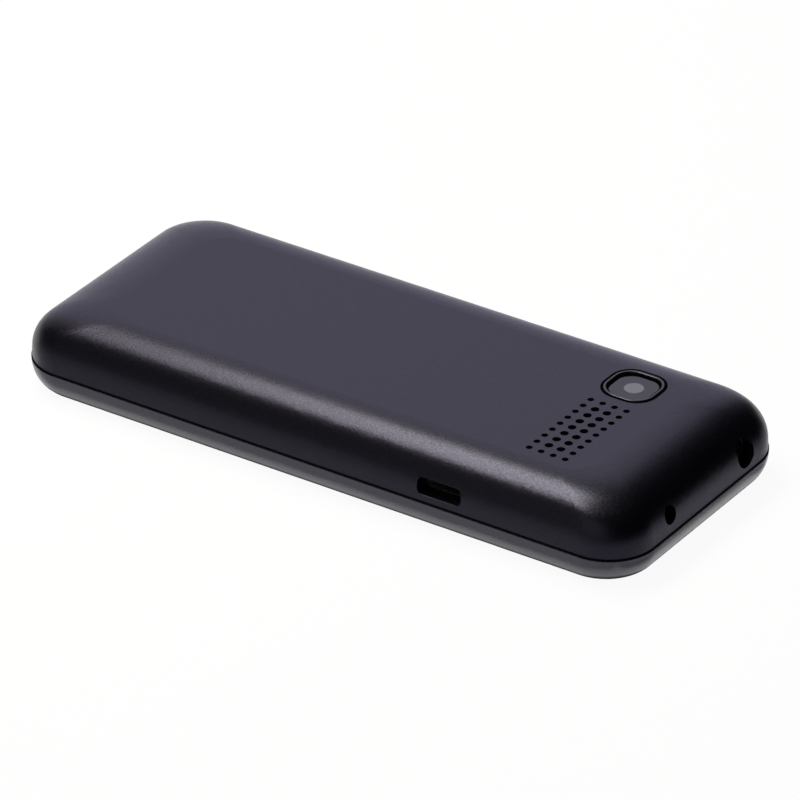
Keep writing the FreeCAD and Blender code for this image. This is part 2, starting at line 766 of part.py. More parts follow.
def make_camera_trim():
    """The raised ring that stands in the camera's recess."""
    trim = block("camera_trim", "trim_width", "trim_length", "trim_radius",
                 "camera_ledge", "camera_recess + trim_proud", "camera_x", "camera_y")
    window(trim, "inside", "body_thickness + trim_proud", "camera_recess + trim_proud",
           "trim_width - 2 * trim_wall", "trim_length - 2 * trim_wall",
           "trim_radius - trim_wall", "camera_x", "camera_y")
    return trim


def make_camera_window():
    """The pane inside the ring, on the recess's ledge."""
    return block("camera_window", "window_width", "window_length", "window_radius",
                 "camera_ledge", "camera_recess - window_depth", "camera_x", "camera_y")


def make_speaker_mesh():
    """The dust screen glued behind the speaker grid."""
    return block("speaker_mesh", "(grid_columns - 1) * grid_pitch + 2 * mesh_margin",
                 "(grid_rows - 1) * grid_pitch + 2 * mesh_margin", "mesh_margin",
                 "back_inside - mesh_sheet", "mesh_sheet", "speaker_x", "speaker_y")


# ---- the middle frame, the board and what stands on it ----


def make_rear_chassis():
    """The middle frame: a plate with a skirt round the board, a bay for the battery and port notches."""
    chassis = block("rear_chassis", "chassis_width", "chassis_length", "chassis_radius",
                    "chassis_top - chassis_skirt", "chassis_skirt")
    hollow = new_sketch(chassis, "hollow", "chassis_top - chassis_skirt")
    draw_rounded(hollow, "skirt_width", "skirt_length", "skirt_radius")
    pocket(chassis, hollow, "chassis_skirt - chassis_plate", reverse=True)

    bosses = new_sketch(chassis, "bosses", "board_rear")
    for x, y in screw_places():
        draw_circle(bosses, "boss_radius", x, y)
    pad(chassis, bosses, "plate_bottom - board_rear")

    bay = new_sketch(chassis, "bay", "chassis_top")
    draw_rounded(bay, "bay_width + 2 * bay_wall", "bay_length + 2 * bay_wall",
                 "battery_radius + bay_wall", "0", "battery_y")
    pad(chassis, bay, "bay_height")
    window(chassis, "bay_inside", "bay_top", "bay_height", "bay_width", "bay_length",
           "battery_radius", "0", "battery_y")

    through = "chassis_top - board_rear + window_clear"
    window(chassis, "contact_notch", "bay_top", f"bay_height + {through}",
           "contact_width + 2 * window_clear", "contact_length + 2 * bay_wall", "block_corner",
           "0", "(contact_front + contact_rear) / 2")
    window(chassis, "sim_window", "chassis_top", "chassis_plate",
           "sim_width + 2 * window_clear", "sim_length + 2 * window_clear", "panel_corner",
           "0", "sim_y")
    window(chassis, "memory_window", "chassis_top", "chassis_plate",
           "memory_width + 2 * window_clear", "memory_length + 2 * window_clear", "panel_corner",
           "0", "memory_y")
    window(chassis, "main_shield_window", "chassis_top", "chassis_plate",
           "main_shield_width + 2 * window_clear", "main_shield_length + 2 * window_clear",
           "can_corner", "main_shield_x", "main_shield_y")
    window(chassis, "radio_shield_window", "chassis_top", "chassis_plate",
           "radio_shield_width + 2 * window_clear", "radio_shield_length + 2 * window_clear",
           "can_corner", "radio_shield_x", "radio_shield_y")
    window(chassis, "camera_window_cut", "chassis_top", "chassis_plate",
           "module_width + 2 * window_clear", "module_width + 2 * window_clear", "block_corner",
           "camera_x", "camera_y")
    window(chassis, "usb_notch", "chassis_top", through,
           "side - usb_back + window_clear", "usb_length + 2 * window_clear", "block_corner",
           "(side + usb_back - window_clear) / 2", "usb_y")
    window(chassis, "jack_notch", "chassis_top", through,
           "jack_width + 2 * window_clear", "top_end - jack_back + window_clear", "block_corner",
           "jack_x", "(top_end + jack_back - window_clear) / 2")
    window(chassis, "torch_notch", "chassis_top", through,
           "torch_width + 2 * window_clear", "top_end - torch_back + window_clear", "block_corner",
           "torch_x", "(top_end + torch_back - window_clear) / 2")

    holes = new_sketch(chassis, "screw_holes", "chassis_top")
    for x, y in screw_places():
        draw_circle(holes, "screw_radius + screw_fit", x, y)
    pocket(chassis, holes, "chassis_top - board_rear")
    return chassis


def make_main_board():
    """The circuit board, on the front shell's bosses."""
    board = block("main_board", "board_width", "board_length", "board_radius",
                  "board_front", "board_thickness")
    holes = new_sketch(board, "screw_holes", "board_rear")
    for x, y in screw_places():
        draw_circle(holes, "screw_radius + screw_fit", x, y)
    pocket(board, holes, "board_thickness")
    window(board, "jack_notch", "board_rear", "board_thickness",
           "jack_width + 2 * window_clear", "top_end - jack_back + window_clear", "block_corner",
           "jack_x", "(top_end + jack_back - window_clear) / 2")
    return board


def make_shield(name):
    """A pressed metal can over one part of the board."""
    width, length, x, y = (f"{name}_{part}" for part in ("width", "length", "x", "y"))
    can = block(f"{name}_can", width, length, "can_corner", "board_rear", "shield_height", x, y)
    hollow = new_sketch(can, "hollow", "board_rear")
    draw_rounded(hollow, f"{width} - 2 * shield_sheet", f"{length} - 2 * shield_sheet",
                 "can_corner - shield_sheet", x, y)
    pocket(can, hollow, "shield_height - shield_sheet", reverse=True)
    return can


def make_card_holder(name, part):
    """A flat metal card holder with one open side."""
    width, length, y = (f"{part}_{side}" for side in ("width", "length", "y"))
    holder = block(name, width, length, "block_corner", "board_rear", "card_holder_height", "0", y)
    slot_length = f"{length} - card_holder_wall"
    window(holder, "slot", "board_rear + card_holder_height", "card_holder_height - card_holder_floor",
           f"{width} - 2 * card_holder_wall", slot_length, "slot_corner", "0", f"{y} - card_holder_wall / 2")
    return holder


def make_usb():
    """The charging socket's metal shell and the plastic tongue in it."""
    shell = new_body("usb_receptacle")
    outline = new_sketch(shell, "outline", "usb_back", "YZ_Plane")
    draw_rounded(outline, "usb_length", "usb_height", "usb_corner", "usb_y", "usb_height_centre")
    pad(shell, outline, "usb_depth")
    mouth = new_sketch(shell, "mouth", "usb_mouth", "YZ_Plane")
    draw_rounded(mouth, "usb_length - 2 * usb_sheet", "usb_height - 2 * usb_sheet",
                 "usb_corner - usb_sheet", "usb_y", "usb_height_centre")
    pocket(shell, mouth, "usb_depth - usb_sheet")

    tongue = new_body("usb_tongue")
    plate = new_sketch(tongue, "outline", "usb_back + usb_sheet", "YZ_Plane")
    draw_rounded(plate, "tongue_length", "tongue_height", "tongue_height / 4", "usb_y",
                 "usb_height_centre + tongue_height / 2")
    pad(tongue, plate, "usb_depth - usb_sheet - tongue_recess")


def make_audio_jack():
    """The jack's block with its round nose. It sinks into a notch in the board and rests on two tabs."""
    jack = block("audio_jack", "jack_width", "end_reach - jack_back", "block_corner", "jack_bottom",
                 "jack_height", "jack_x", "(end_reach + jack_back) / 2")
    tabs = new_sketch(jack, "tabs", "board_rear")
    draw_rounded(tabs, "jack_width + 2 * jack_tab", "jack_tab_length", "block_corner", "jack_x",
                 "(end_reach + jack_back) / 2")
    pad(jack, tabs, "jack_tab_height")
    nose = new_sketch(jack, "nose", "-jack_back - jack_nose_root", "XZ_Plane")
    draw_circle(nose, "jack_nose_radius", "jack_x", "jack_height_centre")
    pad(jack, nose, "jack_nose_end - jack_back - jack_nose_root", reverse=True)

    bore = new_sketch(jack, "bore", "-jack_nose_end", "XZ_Plane")
    draw_circle(bore, "jack_bore", "jack_x", "jack_height_centre")
    pocket(jack, bore, "jack_nose_end - jack_back - jack_floor", reverse=True)
    return jack


def make_torch_led():
    """The torch: a small block on the board with a round lens that points at the end hole."""
    torch = block("torch_led", "torch_width", "torch_length", "block_corner", "board_rear",
                  "torch_height", "torch_x", "torch_face - torch_length / 2")
    lens = new_sketch(torch, "lens", "-torch_face", "XZ_Plane")
    draw_circle(lens, "torch_lens", "torch_x", "torch_height_centre")
    pad(torch, lens, "torch_lens_length", reverse=True)
    end = value("torch_face + torch_lens_length")
    round_later(torch, "torch_lens / 2", lambda box: box.YMin > end - 1e-4)
    return torch


def make_camera_module():
    """The camera: a square base on the board and a round barrel under the window."""
    module = block("camera_module", "module_width", "module_width", "block_corner", "board_rear",
                   "module_rise", "camera_x", "camera_y")
    barrel = new_sketch(module, "barrel", "shoulder_height")
    draw_circle(barrel, "barrel_radius", "camera_x", "camera_y")
    pad(module, barrel, "barrel_rise")
    return module


def make_loudspeaker():
    """The loudspeaker, a basket with a shallow cone, and the foam ring that seals it."""
    speaker = block("loudspeaker", "speaker_width", "speaker_length", "speaker_radius",
                    "chassis_top", "speaker_height", "speaker_x", "speaker_y")
    window(speaker, "cone", "speaker_top", "speaker_height / 4", "speaker_width - 4 * gasket_wall",
           "speaker_length - 4 * gasket_wall", "speaker_radius - 2 * gasket_wall", "speaker_x", "speaker_y")
    ring = block("speaker_gasket", "speaker_width", "speaker_length", "speaker_radius",
                 "speaker_top", "gasket_height", "speaker_x", "speaker_y")
    window(ring, "inside", "gasket_top", "gasket_height",
           "speaker_width - 2 * gasket_wall", "speaker_length - 2 * gasket_wall",
           "speaker_radius - gasket_wall", "speaker_x", "speaker_y")


def make_vibration_motor():
    """The motor on the middle frame, with its shaft, and the off-centre weight on that shaft."""
    motor = new_body("vibration_motor")
    case = new_sketch(motor, "case", "motor_x - motor_length / 2", "YZ_Plane")
    draw_circle(case, "motor_radius", "motor_y", "motor_height")
    pad(motor, case, "motor_length")
    shaft = new_sketch(motor, "shaft", "motor_x", "YZ_Plane")
    draw_circle(shaft, "motor_shaft", "motor_y", "motor_height")
    pad(motor, shaft, "motor_length / 2 + 2 * weight_gap + weight_length", reverse=True)

    near = "motor_x - motor_length / 2 - weight_gap"
    weight = new_body("motor_weight")
    disc = new_sketch(weight, "disc", near, "YZ_Plane")
    draw_circle(disc, "weight_radius", "motor_y", "motor_height")
    pad(weight, disc, "weight_length", reverse=True)
    upper = new_sketch(weight, "upper", near, "YZ_Plane")
    draw_rounded(upper, "4 * weight_radius", "2 * weight_radius", "weight_radius / 4", "motor_y",
                 "motor_height + weight_radius + motor_shaft")
    pocket(weight, upper, "weight_length")
    hub = new_sketch(weight, "hub", near, "YZ_Plane")
    draw_circle(hub, "weight_hub", "motor_y", "motor_height")
    pad(weight, hub, "weight_length", reverse=True)
    bore = new_sketch(weight, "bore", near, "YZ_Plane")
    draw_circle(bore, "motor_shaft + weight_fit", "motor_y", "motor_height")
    pocket(weight, bore, "weight_length")


def make_battery():
    """The battery in its bay, and the contact block that its end meets."""
    battery = block("battery", "battery_width", "battery_length", "battery_radius", "chassis_top",
                    "battery_thickness", "0", "battery_y")
    rear = value("chassis_top + battery_thickness")
    round_later(battery, "battery_radius / 3", at_height(rear))

    contacts = block("battery_contacts", "contact_width", "contact_length", "block_corner", "board_rear",
                     "contact_height", "0", "(contact_front + contact_rear) / 2")
    leaves = new_sketch(contacts, "leaves", "-contact_front", "XZ_Plane")
    for step in (-1, 0, 1):
        draw_rounded(leaves, "contact_leaf_width", "contact_height / 2", "slot_corner",
                     f"{step} * contact_pitch", "chassis_top + contact_height / 4")
    pad(contacts, leaves, "contact_leaf")


def make_antenna():
    """The plastic block at the lower end and the thin radiator on it."""
    block("antenna_carrier", "carrier_width", "carrier_length", "carrier_corner", "chassis_top",
          "carrier_top - chassis_top", "0", "carrier_y")
    radiator = block("antenna", "carrier_width - 2 * antenna_margin",
                     "carrier_length - 2 * antenna_margin", "antenna_corner", "carrier_top",
                     "antenna_sheet", "0", "carrier_y")
    window(radiator, "slot", "carrier_top + antenna_sheet", "antenna_sheet",
           "carrier_width - 6 * antenna_margin", "antenna_margin", "slot_corner", "0", "carrier_y")


def make_screws():
    """The screws that hold the middle frame and the board to the front shell's bosses."""
    screws = new_body("housing_screws")
    screws.AllowCompound = True
    shanks = new_sketch(screws, "shanks", "chassis_top")
    for x, y in screw_places():
        draw_circle(shanks, "screw_radius", x, y)
    pad(screws, shanks, "screw_length", reverse=True)
    heads = new_sketch(screws, "heads", "chassis_top")
    for x, y in screw_places():
        draw_circle(heads, "screw_head_radius", x, y)
    pad(screws, heads, "screw_head_height")
    return screws


# ---- the display, the earpiece and the microphone ----


def make_display():
    """The lens in its recess, the foam, the display panel and the rim that presses it forward."""
    block("display_lens", "lens_width", "lens_length", "lens_radius",
          "lens_depth - lens_thickness", "lens_thickness", "0", "lens_y")
    panel = ("lcd_width", "lcd_length", "panel_corner")
    gasket = block("lcd_gasket", *panel, "front_wall", "lcd_gasket", "0", "lcd_y")
    window(gasket, "inside", "lcd_front", "lcd_gasket", "view_width + 2 * gasket_clear",
           "view_length + 2 * gasket_clear", "panel_corner", "0", "lens_y")
    block("lcd_module", *panel, "lcd_front", "lcd_thickness", "0", "lcd_y")
    holder = block("lcd_holder", *panel, "lcd_rear", "board_front - lcd_rear", "0", "lcd_y")
    window(holder, "inside", "board_front", "board_front - lcd_rear", "lcd_width - 2 * holder_rim",
           "lcd_length - 2 * holder_rim", "panel_corner", "0", "lcd_y")


def make_earpiece():
    """The dust screen behind the ear slot, and the earpiece on it."""
    block("earpiece_mesh", "ear_width", "ear_slot_height + 2 * ear_rim", "ear_rim", "front_wall",
          "mesh_sheet", "0", "ear_y")
    block("earpiece", "ear_width", "ear_length", "ear_corner", "front_wall + mesh_sheet",
          "ear_height", "0", "ear_y")


def make_microphone():
    """The microphone on the board's front, and the rubber boot that joins it to its hole."""
    microphone = new_body("microphone")
    can = new_sketch(microphone, "can", "board_front")
    draw_circle(can, "mic_radius", "mic_x", "mic_y")
    pad(microphone, can, "mic_height", reverse=True)

    boot = new_body("microphone_boot")
    outside = new_sketch(boot, "outside", "front_wall")
    draw_circle(outside, "boot_radius", "mic_x", "mic_y")
    draw_circle(outside, "mic_hole", "mic_x", "mic_y")
    pad(boot, outside, "board_front - mic_height - front_wall")


# ---- the keypad ----


def make_key(name, width, length, radius, x, y):
    """One key: a cap that shows through its well and a flange that stops it behind the wall."""
    key = block(name, width, length, radius, "key_recess", "flange_front - key_recess", x, y)
    round_later(key, "key_edge", at_height(value("key_recess")))
    flange = new_sketch(key, "flange", "flange_front")
    draw_rounded(flange, f"{width} + 2 * flange_rim", f"{length} + 2 * flange_rim",
                 f"{radius} + flange_rim", x, y)
    pad(key, flange, "flange_thickness")
    return key


def make_nav_ring():
    """The four-way ring, its flange and the four feet that press the domes."""
    ring = block("nav_ring", "nav_width", "nav_length", "nav_radius", "key_recess",
                 "nav_flange_front - key_recess", "0", "nav_y")
    round_later(ring, "key_edge", at_height(value("key_recess")))
    flange = new_sketch(ring, "flange", "nav_flange_front")
    draw_rounded(flange, "nav_width + 2 * flange_rim", "nav_length + 2 * flange_rim",
                 "nav_radius + flange_rim", "0", "nav_y")
    pad(ring, flange, "nav_flange")
    feet = new_sketch(ring, "feet", "nav_rear")
    for x, y in NAV_WAYS:
        draw_circle(feet, "nav_foot_radius", f"{x} * nav_foot_reach", f"nav_y + {y} * nav_foot_reach")
    pad(ring, feet, "dome_top - nav_foot_gap - nav_rear")
    hole = new_sketch(ring, "hole", "nav_rear")
    draw_circle(hole, "nav_hole", "0", "nav_y")
    pocket(ring, hole, "nav_rear")
    return ring


def make_nav_pivot():
    """The rubber ring that the four-way ring rocks on."""
    pivot = new_body("nav_pivot")
    outline = new_sketch(pivot, "outline", "pivot_front")
    draw_circle(outline, "pivot_outer", "0", "nav_y")
    draw_circle(outline, "pivot_inner", "0", "nav_y")
    pad(pivot, outline, "pivot_height")
    return pivot


def make_ok_key():
    """The round key in the middle of the ring, with its own flange and stem."""
    key = new_body("ok_key")
    cap = new_sketch(key, "cap", "key_recess")
    draw_circle(cap, "ok_radius", "0", "nav_y")
    pad(key, cap, "ok_flange_front - key_recess")
    round_later(key, "key_edge", at_height(value("key_recess")))
    flange = new_sketch(key, "flange", "ok_flange_front")
    draw_circle(flange, "ok_flange_radius", "0", "nav_y")
    pad(key, flange, "ok_flange")
    stem = new_sketch(key, "stem", "ok_rear")
    draw_circle(stem, "ok_stem_radius", "0", "nav_y")
    pad(key, stem, "dome_top - dome_gap - key_travel - ok_rear")
    return key


def make_keypad_web():
    """The silicone sheet behind the keys, with a plunger over each dome."""
    web = block("keypad_web", "web_width", "web_length", "web_corner", "web_front",
                "web_thickness", "0", "web_y")
    window(web, "nav_opening", "web_rear", "web_thickness", "nav_width + 2 * web_nav_clear",
           "nav_length + 2 * web_nav_clear", "web_nav_corner", "0", "nav_y")
    plungers = new_sketch(web, "plungers", "web_rear")
    for _name, _width, _length, _radius, x, y in key_wells():
        draw_circle(plungers, "plunger_radius", x, y)
    pad(web, plungers, "dome_top - dome_gap - web_rear")
    return web


def make_key_domes():
    """The sheet of click domes on the board's front."""
    domes = block("key_domes", "web_width", "web_length", "web_corner", "board_front - dome_sheet",
                  "dome_sheet", "0", "web_y")
    caps = new_sketch(domes, "caps", "board_front - dome_sheet")
    for _name, _width, _length, _radius, x, y in key_wells():
        draw_circle(caps, "dome_radius", x, y)
    for x, y in ((0, 0), *NAV_WAYS):
        draw_circle(caps, "nav_foot_radius * 2", f"{x} * nav_foot_reach", f"nav_y + {y} * nav_foot_reach")
    pad(domes, caps, "dome_height", reverse=True)
    return domes


# ---- making, checking and writing ----


def make_phone():
    """Makes every piece."""
    make_rear_cover()
    make_front_housing()
    make_camera_trim()
    make_camera_window()
    make_speaker_mesh()
    make_rear_chassis()
    make_main_board()
    make_shield("main_shield")
    make_shield("radio_shield")
    make_card_holder("sim_holder", "sim")
    make_card_holder("microsd_holder", "memory")
    make_usb()
    make_audio_jack()
    make_torch_led()
    make_camera_module()
    make_loudspeaker()
    make_vibration_motor()
    make_battery()
    make_antenna()
    make_screws()
    make_display()
    make_earpiece()
    make_microphone()
    for well in key_wells():
        make_key(*well)
    make_nav_ring()
    make_nav_pivot()
    make_ok_key()
    make_keypad_web()
    make_key_domes()


def check_phone():
    """Stops if a feature failed, a cut took nothing away or a piece isn't a sound solid."""
    for item in doc.Objects:
        if "Invalid" in item.State or "Error" in item.State:
            raise RuntimeError(f"{item.Label} failed to recompute: {item.State}")
        if item.TypeId in ("PartDesign::Pocket", "PartDesign::SubtractiveLoft"):
            if item.Shape.Volume >= item.BaseFeature.Shape.Volume - 1e-6:
                raise RuntimeError(f"{item.Label} cuts nothing")
        if item.TypeId == "PartDesign::Pad" and item.BaseFeature:
            if item.Shape.Volume <= item.BaseFeature.Shape.Volume + 1e-6:
                raise RuntimeError(f"{item.Label} adds nothing")
    for piece in pieces:
        if piece.Shape.isNull() or not piece.Shape.isValid() or not piece.Shape.Solids:
            raise RuntimeError(f"{piece.Label} isn't a valid solid")


def write_parts():
    """Writes each piece to its own STEP file."""
    os.makedirs("parts", exist_ok=True)
    for piece in pieces:
        piece.Shape.exportStep(f"parts/{piece.Label}.step")


make_phone()
doc.recompute()
round_edges()
doc.recompute()
check_phone()
write_parts()
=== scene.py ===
import json
import math

import bmesh
import bpy
from bpy.props import FloatProperty, FloatVectorProperty, PointerProperty
from mathutils import Matrix, Vector


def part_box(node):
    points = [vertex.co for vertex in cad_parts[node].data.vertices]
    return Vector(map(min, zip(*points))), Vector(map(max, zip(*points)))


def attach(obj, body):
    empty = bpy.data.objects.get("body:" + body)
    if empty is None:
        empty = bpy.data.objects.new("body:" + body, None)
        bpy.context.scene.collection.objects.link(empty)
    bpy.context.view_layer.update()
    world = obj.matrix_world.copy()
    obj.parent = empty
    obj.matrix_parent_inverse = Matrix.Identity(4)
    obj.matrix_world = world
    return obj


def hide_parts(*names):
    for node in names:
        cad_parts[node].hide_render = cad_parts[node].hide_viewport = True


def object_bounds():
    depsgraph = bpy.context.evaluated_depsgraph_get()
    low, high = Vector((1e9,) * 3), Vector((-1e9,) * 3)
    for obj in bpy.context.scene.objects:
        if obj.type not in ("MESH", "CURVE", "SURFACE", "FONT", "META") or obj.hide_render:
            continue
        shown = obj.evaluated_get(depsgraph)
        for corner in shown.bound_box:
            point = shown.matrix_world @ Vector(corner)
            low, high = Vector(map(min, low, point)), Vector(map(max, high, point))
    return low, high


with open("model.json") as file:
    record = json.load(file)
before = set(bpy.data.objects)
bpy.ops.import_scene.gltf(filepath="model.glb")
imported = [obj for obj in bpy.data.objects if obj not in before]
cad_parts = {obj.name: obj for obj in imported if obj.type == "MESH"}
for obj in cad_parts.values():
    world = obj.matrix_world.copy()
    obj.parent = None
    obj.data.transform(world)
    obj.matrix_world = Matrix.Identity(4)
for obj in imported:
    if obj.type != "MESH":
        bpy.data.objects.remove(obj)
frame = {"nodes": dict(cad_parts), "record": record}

bl_info = {
    "name": "Bar phone looks",
    "version": (1, 0, 0),
    "blender": (4, 5, 0),
    "location": "3D View > Sidebar > Phone",
    "description": "Finishes, printed marks and a plain studio for the packed bar phone",
    "category": "Object",
}

CAD_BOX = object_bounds()
NODES = frame["nodes"]

MM = 0.001
HAIR = 0.02 * MM  # lifts a thin piece clear of the face it lies on
LEVEL = 1e-6  # heights nearer than this count as one
SHARP = math.radians(35)  # faces that meet at more than this keep a sharp edge
CREASE = math.radians(30)  # edges that bend by more than this can be rounded
STRIP_STEPS = 60  # edges round each corner of the strip in the seam
CORNER_STEPS = 14  # edges round each corner of the camera's ring and its fittings

# The number keys with what is printed on them: node, digit, letters.
NUMBER_KEYS = (
    ("key_1", "1", ""),
    ("key_2", "2", "ABC"),
    ("key_3", "3", "DEF"),
    ("key_4", "4", "GHI"),
    ("key_5", "5", "JKL"),
    ("key_6", "6", "MNO"),
    ("key_7", "7", "PQRS"),
    ("key_8", "8", "TUV"),
    ("key_9", "9", "WXYZ"),
    ("key_star", "*", ""),
    ("key_0", "0", "+"),
    ("key_hash", "#", ""),
)
SOFT_KEYS = ("soft_key_left", "soft_key_right")
HANDSET_KEYS = (("call_key", "print_call", 0), ("end_key", "print_end", 135))  # node, ink, lean
NAV_MARKS = (("left", 1, 0), ("right", -1, 0), ("up", 0, 1), ("down", 0, -1))  # seen from the front

# Each lamp's size and place.
LONG_LAMP = (0.372, 0.197), (0.012, -0.171, 0.45)
WIDE_LAMP = (1.0, 1.0), (0.0, 0.0, 0.44)

# The paper lies just under the phone, and the floor that the phone mirrors just over the paper.
PAPER_LEVEL = -0.02 * MM
MIRROR_LEVEL = -0.01 * MM

# The tent's wall past its window: share of a turn from -X, and brightness.
TENT_WALL = (
    (0.215, 0.3),
    (0.24, 0.0),
    (0.3, 0.02),
    (0.36, 0.07),
    (0.42, 0.14),
    (0.47, 0.45),
    (0.55, 0.45),
    (0.62, 0.05),
    (0.68, 0.0),
)


# ---- sizes and colours a user would change ----


def length(name, description, default):
    """A length in metres with the unit shown."""
    return FloatProperty(
        name=name, description=description, default=default, unit="LENGTH", precision=5
    )


def pair(name, description, default):
    """Two lengths in metres."""
    return FloatVectorProperty(
        name=name, description=description, default=default, size=2, unit="LENGTH", precision=5
    )


def share(name, description, default):
    """A number from 0 to 1."""
    return FloatProperty(
        name=name, description=description, default=default, min=0.0, max=1.0, subtype="FACTOR"
    )


def colour(name, description, default):
    """A linear colour."""
    return FloatVectorProperty(
        name=name, description=description, default=default, min=0.0, max=1.0, subtype="COLOR"
    )


def turn(name, description, degrees):
    """An angle, given in degrees."""
    return FloatProperty(
        name=name, description=description, default=math.radians(degrees), unit="ROTATION"
    )


def power(name, description, watts):
    """A lamp's power."""
    return FloatProperty(name=name, description=description, default=watts, unit="POWER")


class PhoneShellLook(bpy.types.PropertyGroup):
    """Finish of the two shells."""

    back_colour: colour("Back colour", "Plastic of the back shell", (0.0011, 0.001, 0.0021))
    back_shine: colour("Back shine", "Tint of the back shell's gloss", (0.8, 0.75, 1.0))
    back_roughness: share("Back roughness", "How satin the back shell is", 0.33)
    grain_size: length(
        "Grain size", "Distance between the grains of the back shell's texture", 0.0003
    )
    grain_depth: length("Grain depth", "Height of the grains", 0.000012)
    # The strip in the seam is painted shade for the dark gap between the shells.
    strip_height: length("Strip height", "Height of the black strip in the seam", 0.00034)
    strip_width: length("Strip width", "How deep the strip goes in", 0.0003)
    strip_inset: length("Strip inset", "How far the strip stays inside the seam's edge", 0.000001)
    strip_radius: length("Strip radius", "Corner radius of the strip", 0.00812)
    front_colour: colour("Front colour", "Plastic of the front shell", (0.012, 0.0115, 0.0145))
    front_shine: colour("Front shine", "Tint of the front shell's gloss", (0.88, 0.87, 1.0))
    front_roughness: share("Front roughness", "How satin the front shell is", 0.24)
    lip_width: length("Lip width", "Width of the rounded lip of the charging opening", 0.0002)
    lip_height: length("Lip height", "How far that lip stands off the side", 0.00011)
    lip_round: length("Lip rounding", "Rounding of that lip's inner edge", 0.00015)
    lip_depth: length("Lip depth", "How far that lip goes into the side", 0.0002)
    lip_gap: pair("Lip gap", "Room round the socket, up and along", (0.00015, 0.0002))
    lip_corner: length("Lip corner", "Corner radius of the charging opening", 0.0009)


class PhoneCameraLook(bpy.types.PropertyGroup):
    """Finish and sizes of the camera's pane and ring, and of the painted shade in the ring's recess
    and groove.
    """

    pane_colour: colour("Pane colour", "Print behind the pane", (0.004, 0.004, 0.006))
    disc_colour: colour("Disc colour", "Clear disc over the lens", (0.13, 0.125, 0.15))
    disc_radius: length("Disc radius", "Radius of the clear disc", 0.00152)
    ring_shine: colour("Ring shine", "Tint of the ring's gloss", (0.86, 0.82, 1.0))
    ring_radius: length("Ring radius", "Corner radius of the ring", 0.00338)
    ring_shrink: length("Ring shrink", "How far the ring stays inside its place", 0.0002)
    ring_wall: length("Ring wall", "Width of the ring's lip", 0.00049)
    ring_bevel: length("Ring bevel", "Rounding of the lip's outer edge", 0.00014)
    ring_slope: length("Ring slope", "Rounding of the lip's inner edge", 0.00015)
    # The black edge of the pane and the black lining inside the ring are painted shade of the
    # ring's recess.
    edge_shade_width: length("Bezel width", "Width of the black edge of the pane", 0.00044)
    edge_shade_tuck: length("Bezel tuck", "How far that edge reaches under the ring", 0.00007)
    wall_shade_thickness: length("Liner wall", "Thickness of the black liner inside the ring", 0.00006)
    # The groove's black band is painted shade of the gap round the ring.
    groove_width: length("Groove width", "Width of the black groove round the ring", 0.00039)
    groove_depth: length("Groove depth", "Depth of that groove", 0.00006)


class PhoneKeypadLook(bpy.types.PropertyGroup):
    """Sizes and colours of the printed marks on the keys."""

    digit_size: length("Digit size", "Height of a digit", 0.0034)
    digit_shift: length("Digit shift", "How far a digit with letters stands off the middle", 0.0021)
    letter_size: length("Letter size", "Height of the small letters", 0.0015)
    letter_shift: length("Letter shift", "How far the letters stand off the middle", 0.0017)
    word_size: length("Word size", "Height of the word on the middle key", 0.0021)
    mark_height: length("Mark height", "How far the print stands off its key", 0.00002)
    bar_size: pair("Bar size", "Length and width of a soft key's bar", (0.0026, 0.00042))
    handset_size: length("Handset size", "Length of the handset sign", 0.0027)
    nav_reach: pair("Ring marks", "How far the ring's marks lie from its middle", (0.0059, 0.0052))
    nav_size: pair("Ring mark size", "Length and width of the ring's marks", (0.0011, 0.0003))
    print_colour: colour("Print colour", "Light print on the keys", (0.72, 0.72, 0.72))
    call_colour: colour("Call colour", "Print on the call key", (0.05, 0.5, 0.09))
    end_colour: colour("End colour", "Print on the end key", (0.6, 0.03, 0.025))


class PhoneStageLook(bpy.types.PropertyGroup):
    """The camera, the lamps and the floor."""

    azimuth: turn("Azimuth", "Camera's turn round the phone", 123.9214)
    elevation: turn("Elevation", "Camera's height above the horizon", 30.2535)
    roll: turn("Roll", "Camera's roll", -0.09415)
    distance: length("Distance", "From the camera to the point it looks at", 1.159051)
    target: FloatVectorProperty(
        name="Target",
        description="Point the camera looks at",
        default=(0.00158997, 0.00174439, 0.006),
        unit="LENGTH",
    )
    lens: FloatProperty(name="Lens", description="Focal length in millimetres", default=343.083)
    floor_colour: colour("Floor colour", "Paper under the phone", (0.9, 0.9, 0.9))
    floor_glow: share("Floor glow", "Share of plain white that the camera sees in the paper", 0.94)
    mirror_floor: share(
        "Mirrored floor", "Brightness of the floor where the phone mirrors it", 0.74
    )
    mirror_tint: colour("Mirrored tint", "Colour of that floor", (0.86, 0.86, 1.0))
    floor_rim: length("Floor rim", "Width of the white rim of floor that the phone mirrors", 0.0012)
    foot_radius: length("Foot radius", "Corner radius of the phone's outline on the floor", 0.0082)
    foot_shadow: length(
        "Foot shadow", "How far inside its outline the phone's foot is dark", 0.0008
    )
    floor_fade: length("Floor fade", "How far from the phone the mirrored floor darkens", 0.03)
    lamp_light: power("Lamp light", "Power of the long lamp", 2.7)
    lamp_colour: colour("Lamp colour", "Light of the long lamp", (1.0, 0.98, 0.91))
    fill_light: power("Fill light", "Power of the wide lamp", 0.8)
    tent_radius: length("Tent radius", "Radius of the dark tent round the phone", 0.6)
    tent_height: length("Tent height", "Height of the dark tent", 0.64)
    window_colour: colour("Window colour", "Light of the tent's bright part", (0.8, 0.77, 0.97))
    window_start: turn("Window start", "Where the tent's bright part starts, from -X", 10)
    window_end: turn("Window end", "Where the tent's bright part ends, from -X", 66)


# ---- materials ----


def add_node(tree, kind, inputs=(), **settings):
    """A node, with its attributes set and its inputs set or linked."""
    node = tree.nodes.new(kind)
    for key, value in settings.items():
        setattr(node, key, value)
    for key, value in dict(inputs).items():
        if isinstance(value, bpy.types.NodeSocket):
            tree.links.new(value, node.inputs[key])
        else:
            node.inputs[key].default_value = value
    return node


